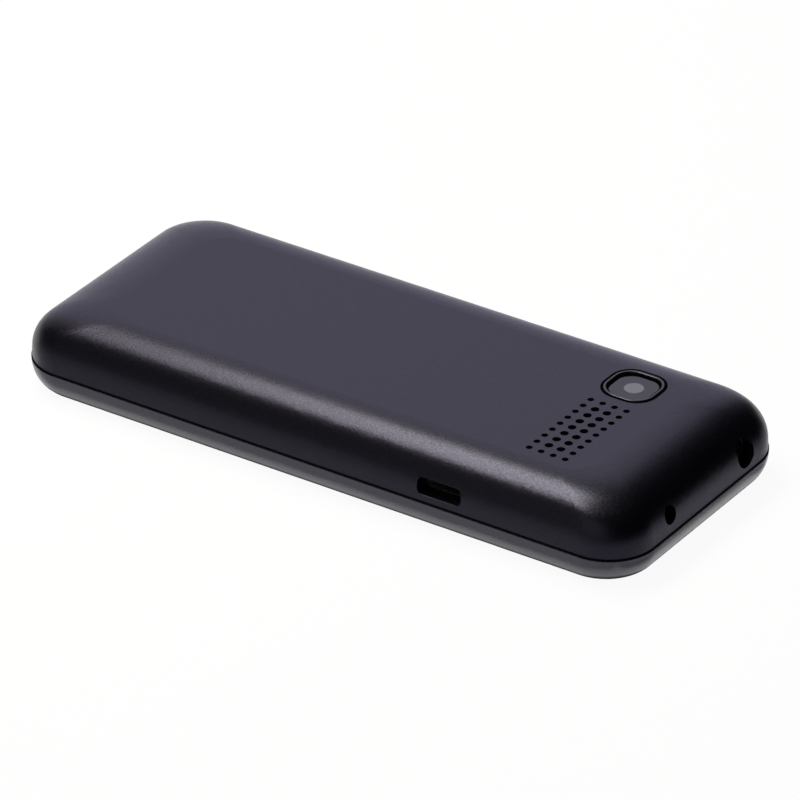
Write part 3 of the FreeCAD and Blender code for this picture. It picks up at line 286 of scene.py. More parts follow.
class Finish:
    """A node material under way, with the usual patterns on object coordinates."""

    MIX_INPUTS = (0, 6, 7)  # a Mix node's factor and its two colours

    def __init__(self, name, **settings):
        self.material = bpy.data.materials.new(name)
        self.material.use_nodes = True
        self.tree = self.material.node_tree
        self.shader = self.tree.nodes["Principled BSDF"]
        for key, value in settings.items():
            socket = key.replace("_", " ").title().replace("Ior", "IOR")
            self.shader.inputs[socket].default_value = value
        self.place = self.add("ShaderNodeTexCoord").outputs["Object"]

    def add(self, kind, inputs=(), **settings):
        """A node of this material."""
        return add_node(self.tree, kind, inputs, **settings)

    def stretched(self, scale):
        """Object coordinates stretched along their axes."""
        return self.add("ShaderNodeMapping", {"Vector": self.place, "Scale": scale}).outputs[0]

    def math(self, operation, a, b=0.0):
        """A Math node's result."""
        return self.add("ShaderNodeMath", {0: a, 1: b}, operation=operation).outputs[0]

    def math3(self, operation, a, b):
        """A Vector Math node's result."""
        return self.add("ShaderNodeVectorMath", {0: a, 1: b}, operation=operation).outputs[0]

    def noise(self, size, detail=2.0, place=None, roughness=0.5):
        """Cloudy noise with features of about this size in metres."""
        inputs = {
            "Vector": place or self.place,
            "Scale": 1 / size,
            "Detail": detail,
            "Roughness": roughness,
        }
        return self.add("ShaderNodeTexNoise", inputs).outputs[0]

    def cells(self, size, feature="F1", randomness=1.0):
        """Distance to the nearest of scattered points."""
        inputs = {"Vector": self.place, "Scale": 1 / size, "Randomness": randomness}
        return self.add("ShaderNodeTexVoronoi", inputs, feature=feature).outputs[0]

    def ramp(self, value, stops):
        """A colour or grey that follows a value through stops of position and colour."""
        node = self.add("ShaderNodeValToRGB", {0: value})
        points = node.color_ramp.elements
        while len(points) < len(stops):
            points.new(0.5)
        for point, (position, tint) in zip(points, stops):
            point.position = position
            point.color = (*tint, 1) if isinstance(tint, (tuple, list)) else (tint, tint, tint, 1)
        return node.outputs[0]

    def mix(self, factor, a, b):
        """Colour a where the factor is 0 and b where it is 1."""
        node = self.add("ShaderNodeMix", data_type="RGBA")
        for socket, value in zip(self.MIX_INPUTS, (factor, a, b)):
            self.connect(node.inputs[socket], value)
        return node.outputs[2]

    def span(self, value, low, high, to_low, to_high):
        """A value's range carried over to another range."""
        inputs = {
            "Value": value,
            "From Min": low,
            "From Max": high,
            "To Min": to_low,
            "To Max": to_high,
        }
        return self.add("ShaderNodeMapRange", inputs).outputs[0]

    def within(self, centre, radius, blur=0.04 * MM, flatten=(1, 1, 0)):
        """1 inside a disc or ball round a point and 0 outside."""
        away = self.math3("MULTIPLY", self.math3("SUBTRACT", self.place, centre), flatten)
        far = self.add("ShaderNodeVectorMath", {0: away}, operation="LENGTH").outputs[1]
        return self.span(far, radius - blur, radius + blur, 1.0, 0.0)

    def inside(self, low, high, blur=0.03 * MM):
        """1 inside an upright box of x and y and 0 outside."""
        axes = self.add("ShaderNodeSeparateXYZ", {0: self.place})
        parts = []
        for axis in (0, 1):
            middle, half = (low[axis] + high[axis]) / 2, (high[axis] - low[axis]) / 2
            off = self.math("ABSOLUTE", self.math("SUBTRACT", axes.outputs[axis], middle))
            parts.append(self.span(off, half - blur, half + blur, 1.0, 0.0))
        return self.math("MULTIPLY", *parts)

    def colour(self, value):
        """Sets or links the base colour."""
        self.use("Base Color", value)

    def clouded(self, tint, size, darker, lighter, detail=2.0):
        """Lets the base colour drift between a darker and a lighter tone."""
        cloud = self.noise(size, detail)
        self.colour(self.mix(cloud, scaled(tint, darker), scaled(tint, lighter)))

    def use(self, socket, value):
        """Sets or links one of the shader's inputs."""
        self.connect(self.shader.inputs[socket], value)

    def connect(self, socket, value):
        """Links a socket to a node's result, or sets it to a number or a colour."""
        if isinstance(value, bpy.types.NodeSocket):
            self.tree.links.new(value, socket)
        else:
            socket.default_value = (*value, 1) if isinstance(value, (tuple, list)) else value

    def bump(self, height, depth):
        """Raises the surface by height times depth in metres."""
        inputs = {"Height": height, "Distance": depth, "Strength": 1.0}
        self.use("Normal", self.add("ShaderNodeBump", inputs).outputs[0])


def shade(value):
    """A colour property as a plain tuple."""
    return tuple(value)


def scaled(tint, factor):
    """A colour made lighter or darker."""
    return tuple(part * factor for part in tint)


def finish_nodes(finish, *names):
    """Puts a finish on CAD nodes."""
    for name in names:
        slots = NODES[name].data.materials
        slots.clear()
        slots.append(finish.material)


def nodes_of(slot):
    """The CAD nodes that the record gives this material slot."""
    return [row["node"] for row in frame["record"]["subparts"] if row["material_slot"] == slot]


def moulded(name, tint, roughness, grain=0.3 * MM, depth=0.004 * MM):
    """Moulded plastic: a fine spark-eroded grain, with the colour and gloss drifting slightly."""
    finish = Finish(name, roughness=roughness)
    finish.clouded(tint, 6 * MM, 0.85, 1.15, detail=3.0)
    fine = finish.noise(grain, 3.0, roughness=0.6)
    finish.use("Roughness", finish.span(fine, 0.3, 0.7, roughness - 0.05, roughness + 0.05))
    finish.bump(fine, depth)
    return finish


def metal(name, tint, roughness):
    """Sheet metal with faint rolling lines along X."""
    finish = Finish(name, metallic=1.0)
    lines = finish.noise(0.35 * MM, place=finish.stretched((1, 12, 12)))
    finish.clouded(tint, 3 * MM, 0.85, 1.08)
    finish.use("Roughness", finish.span(lines, 0.2, 0.8, roughness - 0.08, roughness + 0.1))
    finish.bump(lines, 0.0015 * MM)
    return finish


# ---- meshes ----


def put(name, data):
    """Puts an object with this mesh, lamp or camera into the scene."""
    thing = bpy.data.objects.new(name, data)
    bpy.context.scene.collection.objects.link(thing)
    return thing


def mesh_of(name, shape):
    """Turns a bmesh into a mesh."""
    mesh = bpy.data.meshes.new(name)
    shape.to_mesh(mesh)
    shape.free()
    return mesh


def keep_mesh(name, shape, finish, body, slot, *replaced, smooth=True):
    """Turns a bmesh into a finished piece that rides on a body."""
    mesh = mesh_of(name, shape)
    if smooth:
        mesh.shade_smooth()
        mesh.set_sharp_from_angle(angle=SHARP)
    keep(name, mesh, finish, body, slot, *replaced)


def keep(name, mesh, finish, body, slot, *replaced):
    """Makes the piece's object, gives it its finish and places it on its body."""
    piece = put(name, mesh)
    mesh.materials.clear()
    mesh.materials.append(finish.material)
    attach(piece, body)
    if replaced:
        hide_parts(*replaced)


def rounded_plate(shape, width, depth, radius, centre, segments):
    """A flat rounded rectangle, facing up, added to a bmesh. Gives its face."""
    before = set(shape.verts)
    bmesh.ops.create_grid(shape, x_segments=1, y_segments=1, size=0.5)
    corners = [v for v in shape.verts if v not in before]
    bmesh.ops.scale(shape, vec=(width, depth, 1), verts=corners)
    bmesh.ops.translate(shape, vec=centre, verts=corners)
    bmesh.ops.bevel(
        shape,
        geom=corners,
        offset=radius,
        segments=segments,
        profile=0.5,
        affect="VERTICES",
        material=-1,
    )
    verts = [v for v in shape.verts if v not in before]
    return next(f for f in shape.faces if all(v in verts for v in f.verts))


def hollow_plate(shape, face, thickness, rise=0.0):
    """Leaves a rim of this width of a plate, with its inner edge raised or sunk."""
    bmesh.ops.inset_region(
        shape,
        faces=[face],
        thickness=thickness,
        depth=rise,
        use_boundary=True,
        use_even_offset=True,
    )
    bmesh.ops.delete(shape, geom=[face], context="FACES_ONLY")


def raise_faces(shape, faces, height):
    """Extrudes faces straight up or down."""
    made = bmesh.ops.extrude_face_region(shape, geom=faces)["geom"]
    moved = [g for g in made if isinstance(g, bmesh.types.BMVert)]
    bmesh.ops.translate(shape, vec=(0, 0, height), verts=moved)
    bmesh.ops.recalc_face_normals(shape, faces=shape.faces)


def round_edges(shape, edges, radius, segments):
    """Rounds edges of a bmesh."""
    bmesh.ops.bevel(
        shape,
        geom=edges,
        offset=radius,
        segments=segments,
        profile=0.5,
        affect="EDGES",
        material=-1,
    )


def turn_flat(shape, verts, angle):
    """Turns part of a bmesh round Z."""
    bmesh.ops.rotate(shape, verts=verts, matrix=Matrix.Rotation(angle, 3, "Z"))


def flat_edges(shape, height):
    """The sharp edges of a bmesh that lie at one height."""
    return [
        edge
        for edge in shape.edges
        if all(abs(vert.co.z - height) < LEVEL for vert in edge.verts)
        and edge.calc_face_angle(0) > CREASE
    ]


def facing_in(edges, centre):
    """Those of the edges whose wall faces a centre."""
    found = []
    for edge in edges:
        away = ((edge.verts[0].co + edge.verts[1].co) / 2 - centre).xy
        if any(face.normal.xy.dot(away) < -LEVEL for face in edge.link_faces):
            found.append(edge)
    return found


def middle_of(node):
    """The middle of a CAD node's box."""
    low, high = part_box(node)
    return (Vector(low) + Vector(high)) / 2


# ---- operators ----


class PHONE_OT_shells(bpy.types.Operator):
    """Finish the shells and the middle frame, and add the seam's strip of painted shade and the
    charging lip
    """

    bl_idname = "phone.shells"
    bl_label = "Shells"

    def execute(self, context):
        look = context.scene.phone_shell
        back = Finish("back_shell", IOR=1.47)
        back.use("Specular Tint", shade(look.back_shine))
        back.clouded(shade(look.back_colour), 20 * MM, 0.85, 1.15, detail=3.0)
        grain = back.noise(look.grain_size, roughness=0.55)
        pits = back.cells(look.grain_size * 1.4, "SMOOTH_F1")
        height = back.math("ADD", grain, back.math("MULTIPLY", pits, 0.5))
        rough, swing = look.back_roughness, 0.06
        back.use("Roughness", back.span(grain, 0.3, 0.7, rough - swing, rough + swing))
        back.bump(height, look.grain_depth)
        finish_nodes(back, "rear_cover")

        front = moulded(
            "front_frame",
            shade(look.front_colour),
            look.front_roughness,
            grain=0.25 * MM,
            depth=0.002 * MM,
        )
        front.use("IOR", 1.8)
        front.use("Specular Tint", shade(look.front_shine))
        finish_nodes(front, *nodes_of("front_frame"))

        self.charging_lip(look, back)
        self.seam_shade_strip(look)

        inner = moulded("inner_plastic", (0.012, 0.012, 0.013), 0.45, grain=0.2 * MM)
        finish_nodes(inner, *nodes_of("inner_plastic"))

        screen = Finish("screen_mesh", roughness=0.7)
        weave = screen.cells(0.16 * MM, randomness=0.0)
        screen.colour(screen.ramp(weave, ((0.3, 0.0015), (0.6, 0.012))))
        screen.bump(weave, 0.03 * MM)
        finish_nodes(screen, *nodes_of("screen_mesh"))
        return {"FINISHED"}

    def seam_shade_strip(self, look):
        """The black strip in the seam, a hair short of the back shell: painted shade standing in
        for the dark gap between the shells.
        """
        strip = Finish("seam_shade_strip", roughness=0.85, specular_IOR_level=0.05)
        strip.colour(strip.mix(strip.noise(2 * MM), (0.0004,) * 3, (0.001,) * 3))
        edge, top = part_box("front_housing")[1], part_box("rear_cover")[0][2]
        width, depth = (2 * (edge[axis] - look.strip_inset) for axis in (0, 1))
        centre = (0, 0, top - look.strip_height)
        shape = bmesh.new()
        face = rounded_plate(shape, width, depth, look.strip_radius, centre, STRIP_STEPS)
        hollow_plate(shape, face, look.strip_width)
        raise_faces(shape, shape.faces[:], look.strip_height - HAIR / 4)
        keep_mesh("seam_shade_strip", shape, strip, "phone", "foam")

    def charging_lip(self, look, back):
        """The rounded lip of the charging opening, laid on the curved side of the back shell."""
        low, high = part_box("usb_receptacle")
        middle = middle_of("usb_receptacle")
        tall = high[2] - low[2] + 2 * (look.lip_width + look.lip_gap[0])
        long = high[1] - low[1] + 2 * (look.lip_width + look.lip_gap[1])
        corner = look.lip_corner + look.lip_width
        shape = bmesh.new()
        face = rounded_plate(shape, tall, long, corner, (0, 0, 0), segments=8)
        hollow_plate(shape, face, look.lip_width, look.lip_height)
        raise_faces(shape, shape.faces[:], -look.lip_depth)
        round_edges(shape, flat_edges(shape, look.lip_height), look.lip_round, segments=5)
        bmesh.ops.rotate(shape, verts=shape.verts, matrix=Matrix.Rotation(math.pi / 2, 3, "Y"))
        bmesh.ops.translate(shape, verts=shape.verts, vec=(0, middle.y, middle.z))
        shell = NODES["rear_cover"]
        beside, outside = high[1] + MM, 100 * MM
        for vert in shape.verts:
            found, place, _, _ = shell.ray_cast((outside, beside, vert.co.z), (-1, 0, 0))
            if not found:
                raise RuntimeError("the charging opening's lip finds no side wall")
            vert.co.x += place.x
        keep_mesh("charging_lip", shape, back, "back_cover", "back_shell")


class PHONE_OT_camera(bpy.types.Operator):
    """Make the camera's ring with its rounded lip, paint the shade in its recess and groove, and
    finish the pane and the camera under it
    """

    bl_idname = "phone.camera"
    bl_label = "Camera"

    def execute(self, context):
        look = context.scene.phone_camera
        low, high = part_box("camera_trim")
        centre = middle_of("camera_trim")
        width = high[0] - low[0] - 2 * look.ring_shrink
        depth = high[1] - low[1] - 2 * look.ring_shrink
        radius = look.ring_radius - look.ring_shrink
        foot = (centre.x, centre.y, low[2])
        shape = bmesh.new()
        face = rounded_plate(shape, width, depth, radius, foot, CORNER_STEPS)
        hollow_plate(shape, face, look.ring_wall)
        raise_faces(shape, shape.faces[:], high[2] - low[2])
        inner = facing_in(flat_edges(shape, high[2]), centre)
        round_edges(shape, inner, look.ring_slope, segments=4)
        round_edges(shape, flat_edges(shape, high[2]), look.ring_bevel, segments=4)
        ring = Finish("camera_ring", roughness=0.3, IOR=1.6)
        ring.use("Specular Tint", shade(look.ring_shine))
        ring.clouded(shade(context.scene.phone_shell.back_colour), 4 * MM, 0.9, 1.2)
        ring.bump(ring.noise(0.3 * MM), 0.002 * MM)
        keep_mesh("camera_ring", shape, ring, "back_cover", "back_shell", "camera_trim")

        black = Finish("camera_black", roughness=0.8, IOR=1.04)
        black.colour(black.mix(black.noise(MM), (0.0003,) * 3, (0.0008,) * 3))
        # A black lining on the ring's inner wall and a black edge round the pane: painted shade
        # standing in for the shade inside the ring's recess.
        inset = look.ring_wall - look.edge_shade_tuck
        size = (width - 2 * inset, depth - 2 * inset, radius - inset)
        seat = (centre.x, centre.y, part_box("camera_window")[1][2] + HAIR)
        wall_shade = look.wall_shade_thickness, high[2] - look.ring_slope
        edge_shade = look.edge_shade_width, seat[2] + look.wall_shade_thickness
        shape = bmesh.new()
        for wall, top in (wall_shade, edge_shade):
            before = set(shape.faces)
            hollow_plate(shape, rounded_plate(shape, *size, seat, CORNER_STEPS), wall)
            raise_faces(shape, [f for f in shape.faces if f not in before], top - seat[2])
        keep_mesh("camera_recess_shade", shape, black, "back_cover", "module_black")

        # A black band in the groove round the ring: painted shade standing in for the dark gap
        # between the ring and the shell.
        shape = bmesh.new()
        groove = look.groove_width
        size = (width + 2 * groove, depth + 2 * groove, radius + groove)
        seat = (centre.x, centre.y, low[2] + HAIR)
        face = rounded_plate(shape, *size, seat, CORNER_STEPS)
        hollow_plate(shape, face, groove - HAIR / 2)
        raise_faces(shape, shape.faces[:], high[2] - look.groove_depth - low[2])
        keep_mesh("camera_groove_shade", shape, black, "back_cover", "module_black")

        pane = Finish("camera_pane", roughness=0.09)
        disc = pane.within(centre, look.disc_radius)
        pane.colour(pane.mix(disc, shade(look.pane_colour), shade(look.disc_colour)))
        pane.use("Roughness", pane.span(pane.noise(2 * MM), 0.3, 0.7, 0.07, 0.12))
        finish_nodes(pane, "camera_window")

        module = moulded("module_black", (0.01, 0.01, 0.011), 0.5)
        finish_nodes(module, *nodes_of("module_black"))
        return {"FINISHED"}


class PHONE_OT_sockets(bpy.types.Operator):
    """Finish the charging socket, the audio jack and the torch"""

    bl_idname = "phone.sockets"
    bl_label = "Sockets"

    def execute(self, context):
        finish_nodes(metal("socket_metal", (0.62, 0.62, 0.63), 0.28), *nodes_of("socket_metal"))
        torch = Finish("clear_lens", roughness=0.15)
        centre = middle_of("torch_led")
        glow = torch.within(centre, radius=0.9 * MM, blur=0.2 * MM, flatten=(1, 0, 1))
        torch.colour(torch.mix(glow, (0.02, 0.02, 0.022), (0.1, 0.09, 0.05)))
        torch.bump(torch.noise(0.8 * MM), 0.004 * MM)
        finish_nodes(torch, *nodes_of("clear_lens"))
        return {"FINISHED"}


class PHONE_OT_inside(bpy.types.Operator):
    """Finish what the back shell covers"""

    bl_idname = "phone.inside"
    bl_label = "Inside"

    def execute(self, context):
        board = Finish("circuit_board", roughness=0.4)
        winding = {"Vector": board.place, "Scale": 900.0, "Distortion": 6.0, "Detail": 1.0}
        tracks = board.add("ShaderNodeTexWave", winding).outputs[0]
        lines = board.ramp(tracks, ((0.45, 0.0), (0.55, 1.0)))
        board.colour(board.mix(lines, (0.006, 0.06, 0.03), (0.012, 0.11, 0.055)))
        board.bump(lines, 0.01 * MM)
        finish_nodes(board, *nodes_of("circuit_board"))

        for name, tint, roughness in (
            ("tinned_steel", (0.55, 0.55, 0.53), 0.38),
            ("heavy_metal", (0.3, 0.29, 0.27), 0.5),
            ("screw_steel", (0.25, 0.25, 0.26), 0.35),
            ("dome_steel", (0.6, 0.6, 0.58), 0.3),
            ("copper_foil", (0.75, 0.42, 0.25), 0.35),
        ):
            finish_nodes(metal(name, tint, roughness), *nodes_of(name))

        low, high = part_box("battery")
        wrap = Finish("battery_wrap", roughness=0.38)
        edge = 2.2 * MM
        label = wrap.inside((low[0] + edge, low[1] + edge), (high[0] - edge, high[1] - edge))
        paper = wrap.mix(wrap.noise(0.6 * MM), (0.16, 0.16, 0.17), (0.2, 0.2, 0.21))
        wrap.colour(wrap.mix(label, (0.02, 0.02, 0.022), paper))
        fibres = wrap.math("MULTIPLY", wrap.noise(0.4 * MM), 0.2)
        wrap.bump(wrap.math("ADD", label, fibres), 0.05 * MM)
        finish_nodes(wrap, *nodes_of("battery_wrap"))

        foam = Finish("foam", roughness=0.9)
        bubbles = foam.cells(0.25 * MM)
        foam.colour(foam.ramp(bubbles, ((0.1, 0.006), (0.6, 0.025))))
        foam.bump(bubbles, 0.06 * MM)
        finish_nodes(foam, *nodes_of("foam"))

        rubber = moulded("silicone", (0.16, 0.16, 0.17), 0.55, grain=0.5 * MM, depth=0.005 * MM)
        finish_nodes(rubber, *nodes_of("silicone"))
        return {"FINISHED"}


class PHONE_OT_display(bpy.types.Operator):
    """Finish the display's lens and the panel behind it"""

    bl_idname = "phone.display"
    bl_label = "Display"

    def execute(self, context):
        low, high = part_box("display_lens")
        border, end = 3.8 * MM, 2.3 * MM
        glass = Finish("display_glass", roughness=0.06)
        seen = glass.inside((low[0] + border, low[1] + end), (high[0] - border, high[1] - end))
        glass.colour(glass.mix(seen, (0.0025, 0.0025, 0.003), (0.012, 0.013, 0.016)))
        smear = glass.noise(12 * MM, 4.0)
        glass.use("Roughness", glass.span(smear, 0.35, 0.75, 0.04, 0.1))
        finish_nodes(glass, *nodes_of("display_glass"))
        panel = Finish("lcd_panel", roughness=0.2)
        dots = panel.cells(0.15 * MM, randomness=0.0)
        panel.colour(panel.mix(dots, (0.01, 0.011, 0.013), (0.02, 0.022, 0.025)))
        finish_nodes(panel, *nodes_of("lcd_panel"))
        return {"FINISHED"}


def printed(name, text, size, shift, finish, node, height):
    """Flat printed text on the front of a key, read from the front and shifted along X."""
    middle = middle_of(node)
    place = (middle.x + shift, middle.y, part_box(node)[0][2] - height / 2)
    curve = bpy.data.curves.new(name, "FONT")
    curve.body = text
    curve.size = size
    curve.align_x, curve.align_y = "CENTER", "CENTER"
    curve.extrude = height / 2
    curve.resolution_u = 3
    words = put(name, curve)
    bpy.context.view_layer.update()
    graph = bpy.context.evaluated_depsgraph_get()
    mesh = bpy.data.meshes.new_from_object(words.evaluated_get(graph))
    bpy.data.objects.remove(words)
    bpy.data.curves.remove(curve)
    mesh.transform(Matrix.Rotation(math.pi, 4, "Y"))
    mesh.transform(Matrix.Translation(place))
    mesh.name = name
    keep(name, mesh, finish, node, "key_cap")


def bar_mark(name, node, off, size, finish, height):
    """A short printed bar on the front of a key, off its middle by so much."""
    middle = middle_of(node)
    place = (middle.x + off[0], middle.y + off[1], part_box(node)[0][2])
    nearly_half = min(size) / 2.05
    shape = bmesh.new()
    rounded_plate(shape, *size, nearly_half, place, segments=5)
    raise_faces(shape, shape.faces[:], -height)
    keep_mesh(name, shape, finish, node, "key_cap", smooth=False)


def handset_mark(name, node, size, lean, finish, height):
    """A printed telephone handset: a bent grip with two broad ends, turned by an angle."""
    grip_inside, grip_outside = 0.42 * size, 0.64 * size
    end_size = (0.3 * size, 0.36 * size, 0.08 * size)
    end_place = (0, 0.48 * size, HAIR / 10)
    sweep = math.radians(130)
    shape = bmesh.new()
    grip = [shape.verts.new((0, reach, 0)) for reach in (grip_inside, grip_outside)]
    turn_flat(shape, grip, -sweep / 2)
    bmesh.ops.spin(
        shape,
        geom=[*grip, shape.edges.new(grip)],
        cent=(0, 0, 0),
        axis=(0, 0, 1),
        angle=sweep,
        steps=18,
        use_merge=False,
    )
    for side in (-1, 1):
        before = set(shape.verts)
        rounded_plate(shape, *end_size, end_place, segments=4)
        end = [v for v in shape.verts if v not in before]
        turn_flat(shape, end, side * sweep / 2)
    turn_flat(shape, shape.verts, lean)
    spans = [[v.co[axis] for v in shape.verts] for axis in (0, 1)]
    off = [(min(span) + max(span)) / 2 for span in spans]
    middle = middle_of(node)
    place = (middle.x - off[0], middle.y - off[1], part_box(node)[0][2])
    bmesh.ops.translate(shape, vec=place, verts=shape.verts)
    raise_faces(shape, shape.faces[:], -height)
    keep_mesh(name, shape, finish, node, "key_cap", smooth=False)


class PHONE_OT_keypad(bpy.types.Operator):
    """Finish the keys and print their digits, letters and signs"""

    bl_idname = "phone.keypad"
    bl_label = "Keypad"

    def execute(self, context):
        look = context.scene.phone_keypad
        cap = moulded("key_cap", (0.012, 0.012, 0.013), 0.28, grain=0.4 * MM, depth=0.0015 * MM)
        finish_nodes(cap, *nodes_of("key_cap"))
        ring = moulded("nav_finish", (0.05, 0.05, 0.053), 0.3, depth=0.002 * MM)
        finish_nodes(ring, *nodes_of("nav_finish"))
        inks = {}
        for name, tint in (
            ("print_light", look.print_colour),
            ("print_call", look.call_colour),
            ("print_end", look.end_colour),
        ):
            inks[name] = Finish(name, roughness=0.5)
            inks[name].clouded(shade(tint), 0.4 * MM, 0.9, 1.0)
        light, height = inks["print_light"], look.mark_height
        for node, digit, letters in NUMBER_KEYS:
            shift = look.digit_shift if letters else 0.0
            printed(f"{node}_digit", digit, look.digit_size, shift, light, node, height)
            if letters:
                shift = -look.letter_shift
                printed(f"{node}_letters", letters, look.letter_size, shift, light, node, height)
        for node in SOFT_KEYS:
            bar_mark(f"{node}_bar", node, (0, 0), look.bar_size, light, height)
        for node, ink, lean in HANDSET_KEYS:
            lean = math.radians(lean)
            handset_mark(f"{node}_handset", node, look.handset_size, lean, inks[ink], height)
        for way, x, y in NAV_MARKS:
            reach = (x * look.nav_reach[0], y * look.nav_reach[1])
            size = tuple(reversed(look.nav_size)) if x else tuple(look.nav_size)
            bar_mark(f"nav_{way}_bar", "nav_ring", reach, size, light, height)
        printed("ok_key_word", "OK", look.word_size, 0.0, light, "ok_key", height)
        return {"FINISHED"}


class PHONE_OT_stage(bpy.types.Operator):
    """Set up the camera, the floor, the lamps and the tent that only reflections see"""

    bl_idname = "phone.stage"
    bl_label = "Stage"

    def execute(self, context):
        look = context.scene.phone_stage
        scene = context.scene
        azimuth, elevation = look.azimuth, look.elevation
        flat = math.cos(elevation)
        back = Vector((math.sin(azimuth) * flat, -math.cos(azimuth) * flat, math.sin(elevation)))
        right = Vector((0, 0, 1)).cross(back).normalized()
        up = back.cross(right)
        tilt = Matrix.Rotation(look.roll, 3, back)
        right, up = tilt @ right, tilt @ up
        lens = bpy.data.cameras.new("camera")
        lens.lens = look.lens
        lens.sensor_width = 36.0
        lens.clip_start, lens.clip_end = 0.05, 20.0
        camera = put("camera", lens)
        place = Matrix.Translation(Vector(look.target) + back * look.distance)
        camera.matrix_world = place @ Matrix((right, up, back)).transposed().to_4x4()
        scene.camera = camera

        scene.world = bpy.data.worlds.new("room")
        scene.world.use_nodes = True
        tree = scene.world.node_tree
        tree.nodes["Background"].inputs["Color"].default_value = (1, 1, 1, 1)
        tree.links.new(self.shown(tree), tree.nodes["Background"].inputs["Strength"])

        self.floor(look)
        self.mirrored_floor(look)
        self.tent(look)
        long_lamp = self.lamp("long_lamp", look.lamp_light, *LONG_LAMP)
        long_lamp.data.color = shade(look.lamp_colour)
        wide_lamp = self.lamp("wide_lamp", look.fill_light, *WIDE_LAMP)
        wide_lamp.visible_glossy = False
        long_lamp.visible_camera = wide_lamp.visible_camera = False
        scene.view_settings.view_transform = "Standard"
        return {"FINISHED"}

    def lamp(self, name, watts, size, place):
        """A flat lamp that shines straight down."""
        light = bpy.data.lights.new(name, "AREA")
        light.shape = "RECTANGLE"
        light.size, light.size_y = size
        light.energy = watts
        holder = put(name, light)
        holder.location = place
        return holder

    def shown(self, tree):
        """1 for rays of the camera, of reflections and of glass, and 0 for the light itself."""
        rays = add_node(tree, "ShaderNodeLightPath").outputs
        either = rays["Is Camera Ray"]
        for kind in ("Is Glossy Ray", "Is Transmission Ray"):
            inputs = {0: either, 1: rays[kind]}
            either = add_node(tree, "ShaderNodeMath", inputs, operation="MAXIMUM").outputs[0]
        return either

    def floor(self, look):
        """A wide pale sheet that keeps the phone's shadow."""
        paper = Finish("floor_paper", roughness=0.9, specular_IOR_level=0.0)
        paper.colour(shade(look.floor_colour))
        amount = paper.math("MULTIPLY", self.shown(paper.tree), look.floor_glow)
        glow = paper.add("ShaderNodeEmission")
        shaders = {0: amount, 1: paper.shader.outputs[0], 2: glow.outputs[0]}
        mixed = paper.add("ShaderNodeMixShader", shaders)
        surface = paper.tree.nodes["Material Output"].inputs["Surface"]
        paper.tree.links.new(mixed.outputs[0], surface)
        shape = bmesh.new()
        bmesh.ops.create_grid(shape, x_segments=1, y_segments=1, size=3.0)
        bmesh.ops.translate(shape, vec=(0, 0, PAPER_LEVEL), verts=shape.verts)
        floor = put("floor", mesh_of("floor", shape))
        floor.data.materials.append(paper.material)
        return floor

    def prop(self, shape, finish, shadow):
        """A matt shape that only reflections see."""
        name = finish.material.name
        thing = put(name, mesh_of(name, shape))
        thing.data.materials.append(finish.material)
        thing.visible_camera = thing.visible_diffuse = thing.visible_transmission = False
        thing.visible_shadow = shadow
        return thing

    def mirrored_floor(self, look):
        """A greyer floor for reflections, left open round the phone."""
        matt = Finish("mirrored_floor", roughness=0.9, specular_IOR_level=0.0)
        axes = matt.add("ShaderNodeSeparateXYZ", {0: matt.place}).outputs
        black = (0.0, 0.0, 0.0)

        # Distance from the middle part of the phone's outline; its edge is one corner radius away.
        edge = look.foot_radius
        half = [(high - low) / 2 - edge for low, high in zip(*CAD_BOX)]
        past = matt.math3("ABSOLUTE", matt.place, black)
        past = matt.math3("SUBTRACT", past, (half[0], half[1], 0))
        past = matt.math3("MULTIPLY", matt.math3("MAXIMUM", past, black), (1, 1, 0))
        away = matt.add("ShaderNodeVectorMath", {0: past}, operation="LENGTH").outputs[1]

        # The grey brightens towards +Y and -X, and darkens away from the phone.
        across = matt.math("SUBTRACT", axes[1], axes[0])
        reach, grey = 80 * MM, look.mirror_floor
        slant = matt.span(across, -reach, reach, 0.85 * grey, 1.3 * grey)
        fading = matt.span(away, edge, edge + 2 * look.floor_fade, 1, 0.25)
        light = matt.math("MULTIPLY", slant, fading)
        tinted = matt.mix(light, black, shade(look.mirror_tint))
        # Under the phone's foot the mirrored floor turns black: a painted shadow where the phone
        # meets the floor.
        shadow = look.foot_shadow
        under = matt.span(away, edge - 2 * shadow, edge - shadow, 0.95, 0)
        matt.colour(matt.mix(under, tinted, black))

        # The rim round the phone and the floor beyond its -X and -Y sides are left open, so that
        # the white paper shows there. The rim is wider at the top end, which shades it.
        rim, side = look.floor_rim, CAD_BOX[1]
        white_side = matt.inside((-look.tent_radius,) * 2, (side[0], side[1]), rim / 2)
        widening = matt.span(axes[1], 46 * MM, 52 * MM, 1, 1.8)
        beyond = matt.math("DIVIDE", matt.math("SUBTRACT", away, edge), widening)
        ring = matt.span(beyond, rim / 2, 1.2 * rim, 1, 0)
        cover = matt.math("SUBTRACT", 1.0, matt.math("MAXIMUM", white_side, ring))
        matt.use("Alpha", matt.math("MAXIMUM", cover, under))

        shape = bmesh.new()
        bmesh.ops.create_circle(shape, cap_ends=True, segments=64, radius=look.tent_radius)
        bmesh.ops.translate(shape, vec=(0, 0, MIRROR_LEVEL), verts=shape.verts)
        return self.prop(shape, matt, False)

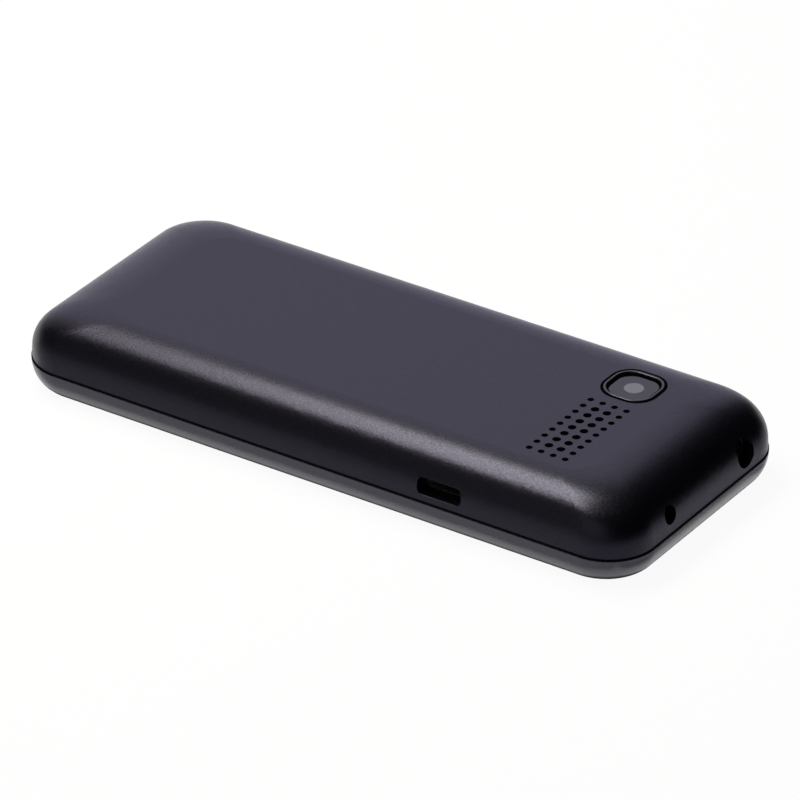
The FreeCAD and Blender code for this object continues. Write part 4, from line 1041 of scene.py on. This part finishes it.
    def tent(self, look):
        """A dark round wall and roof with one bright window, that only reflections see."""
        cloth = Finish("dark_tent", roughness=0.9, specular_IOR_level=0.0)
        axes = cloth.add("ShaderNodeSeparateXYZ", {0: cloth.place}).outputs
        bearing = cloth.math("ARCTAN2", axes[1], axes[0])
        bearing = cloth.span(bearing, -math.pi, math.pi, 0, 1)
        start, end = (edge / (2 * math.pi) for edge in (look.window_start, look.window_end))
        window, fade = shade(look.window_colour), 0.006
        stops = (
            (start - fade, 0.0),
            (start + fade, scaled(window, 1.12)),
            (end - fade, scaled(window, 0.94)),
            (end + fade, TENT_WALL[0][1]),
            *TENT_WALL,
        )
        on_wall = cloth.math("LESS_THAN", axes[2], look.tent_height - MM)
        cloth.colour((0.0, 0.0, 0.0))
        cloth.use("Emission Color", cloth.mix(on_wall, (0.0, 0.0, 0.0), cloth.ramp(bearing, stops)))
        cloth.use("Emission Strength", 1.0)
        shape = bmesh.new()
        bmesh.ops.create_circle(shape, cap_ends=True, segments=180, radius=look.tent_radius)
        raise_faces(shape, shape.faces[:], look.tent_height)
        ground = [f for f in shape.faces if f.calc_center_median().z < MM]
        bmesh.ops.delete(shape, geom=ground, context="FACES")
        return self.prop(shape, cloth, True)


class PHONE_PT_looks(bpy.types.Panel):
    """The phone's operators and settings"""

    bl_idname = "PHONE_PT_looks"
    bl_label = "Phone"
    bl_space_type = "VIEW_3D"
    bl_region_type = "UI"
    bl_category = "Phone"

    def draw(self, context):
        for group, operators in PANEL_ROWS:
            box = self.layout.box()
            look = getattr(context.scene, group)
            for name in look.bl_rna.properties.keys():
                if name not in ("rna_type", "name"):
                    box.prop(look, name)
            for operator in operators:
                box.operator(operator)


GROUPS = {
    "phone_shell": PhoneShellLook,
    "phone_camera": PhoneCameraLook,
    "phone_keypad": PhoneKeypadLook,
    "phone_stage": PhoneStageLook,
}
OPERATORS = (
    PHONE_OT_shells,
    PHONE_OT_camera,
    PHONE_OT_sockets,
    PHONE_OT_inside,
    PHONE_OT_display,
    PHONE_OT_keypad,
    PHONE_OT_stage,
)
PANEL_ROWS = (
    ("phone_shell", ("phone.shells", "phone.inside", "phone.sockets")),
    ("phone_camera", ("phone.camera",)),
    ("phone_keypad", ("phone.keypad", "phone.display")),
    ("phone_stage", ("phone.stage",)),
)


def register():
    for name, group in GROUPS.items():
        bpy.utils.register_class(group)
        setattr(bpy.types.Scene, name, PointerProperty(type=group))
    for operator in OPERATORS:
        bpy.utils.register_class(operator)
    bpy.utils.register_class(PHONE_PT_looks)


def unregister():
    bpy.utils.unregister_class(PHONE_PT_looks)
    for operator in reversed(OPERATORS):
        bpy.utils.unregister_class(operator)
    for name, group in reversed(GROUPS.items()):
        delattr(bpy.types.Scene, name)
        bpy.utils.unregister_class(group)


def main():
    """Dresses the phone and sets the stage."""
    register()
    bpy.ops.phone.shells()
    bpy.ops.phone.camera()
    bpy.ops.phone.sockets()
    bpy.ops.phone.inside()
    bpy.ops.phone.display()
    bpy.ops.phone.keypad()
    bpy.ops.phone.stage()


if __name__ == "__main__":
    main()
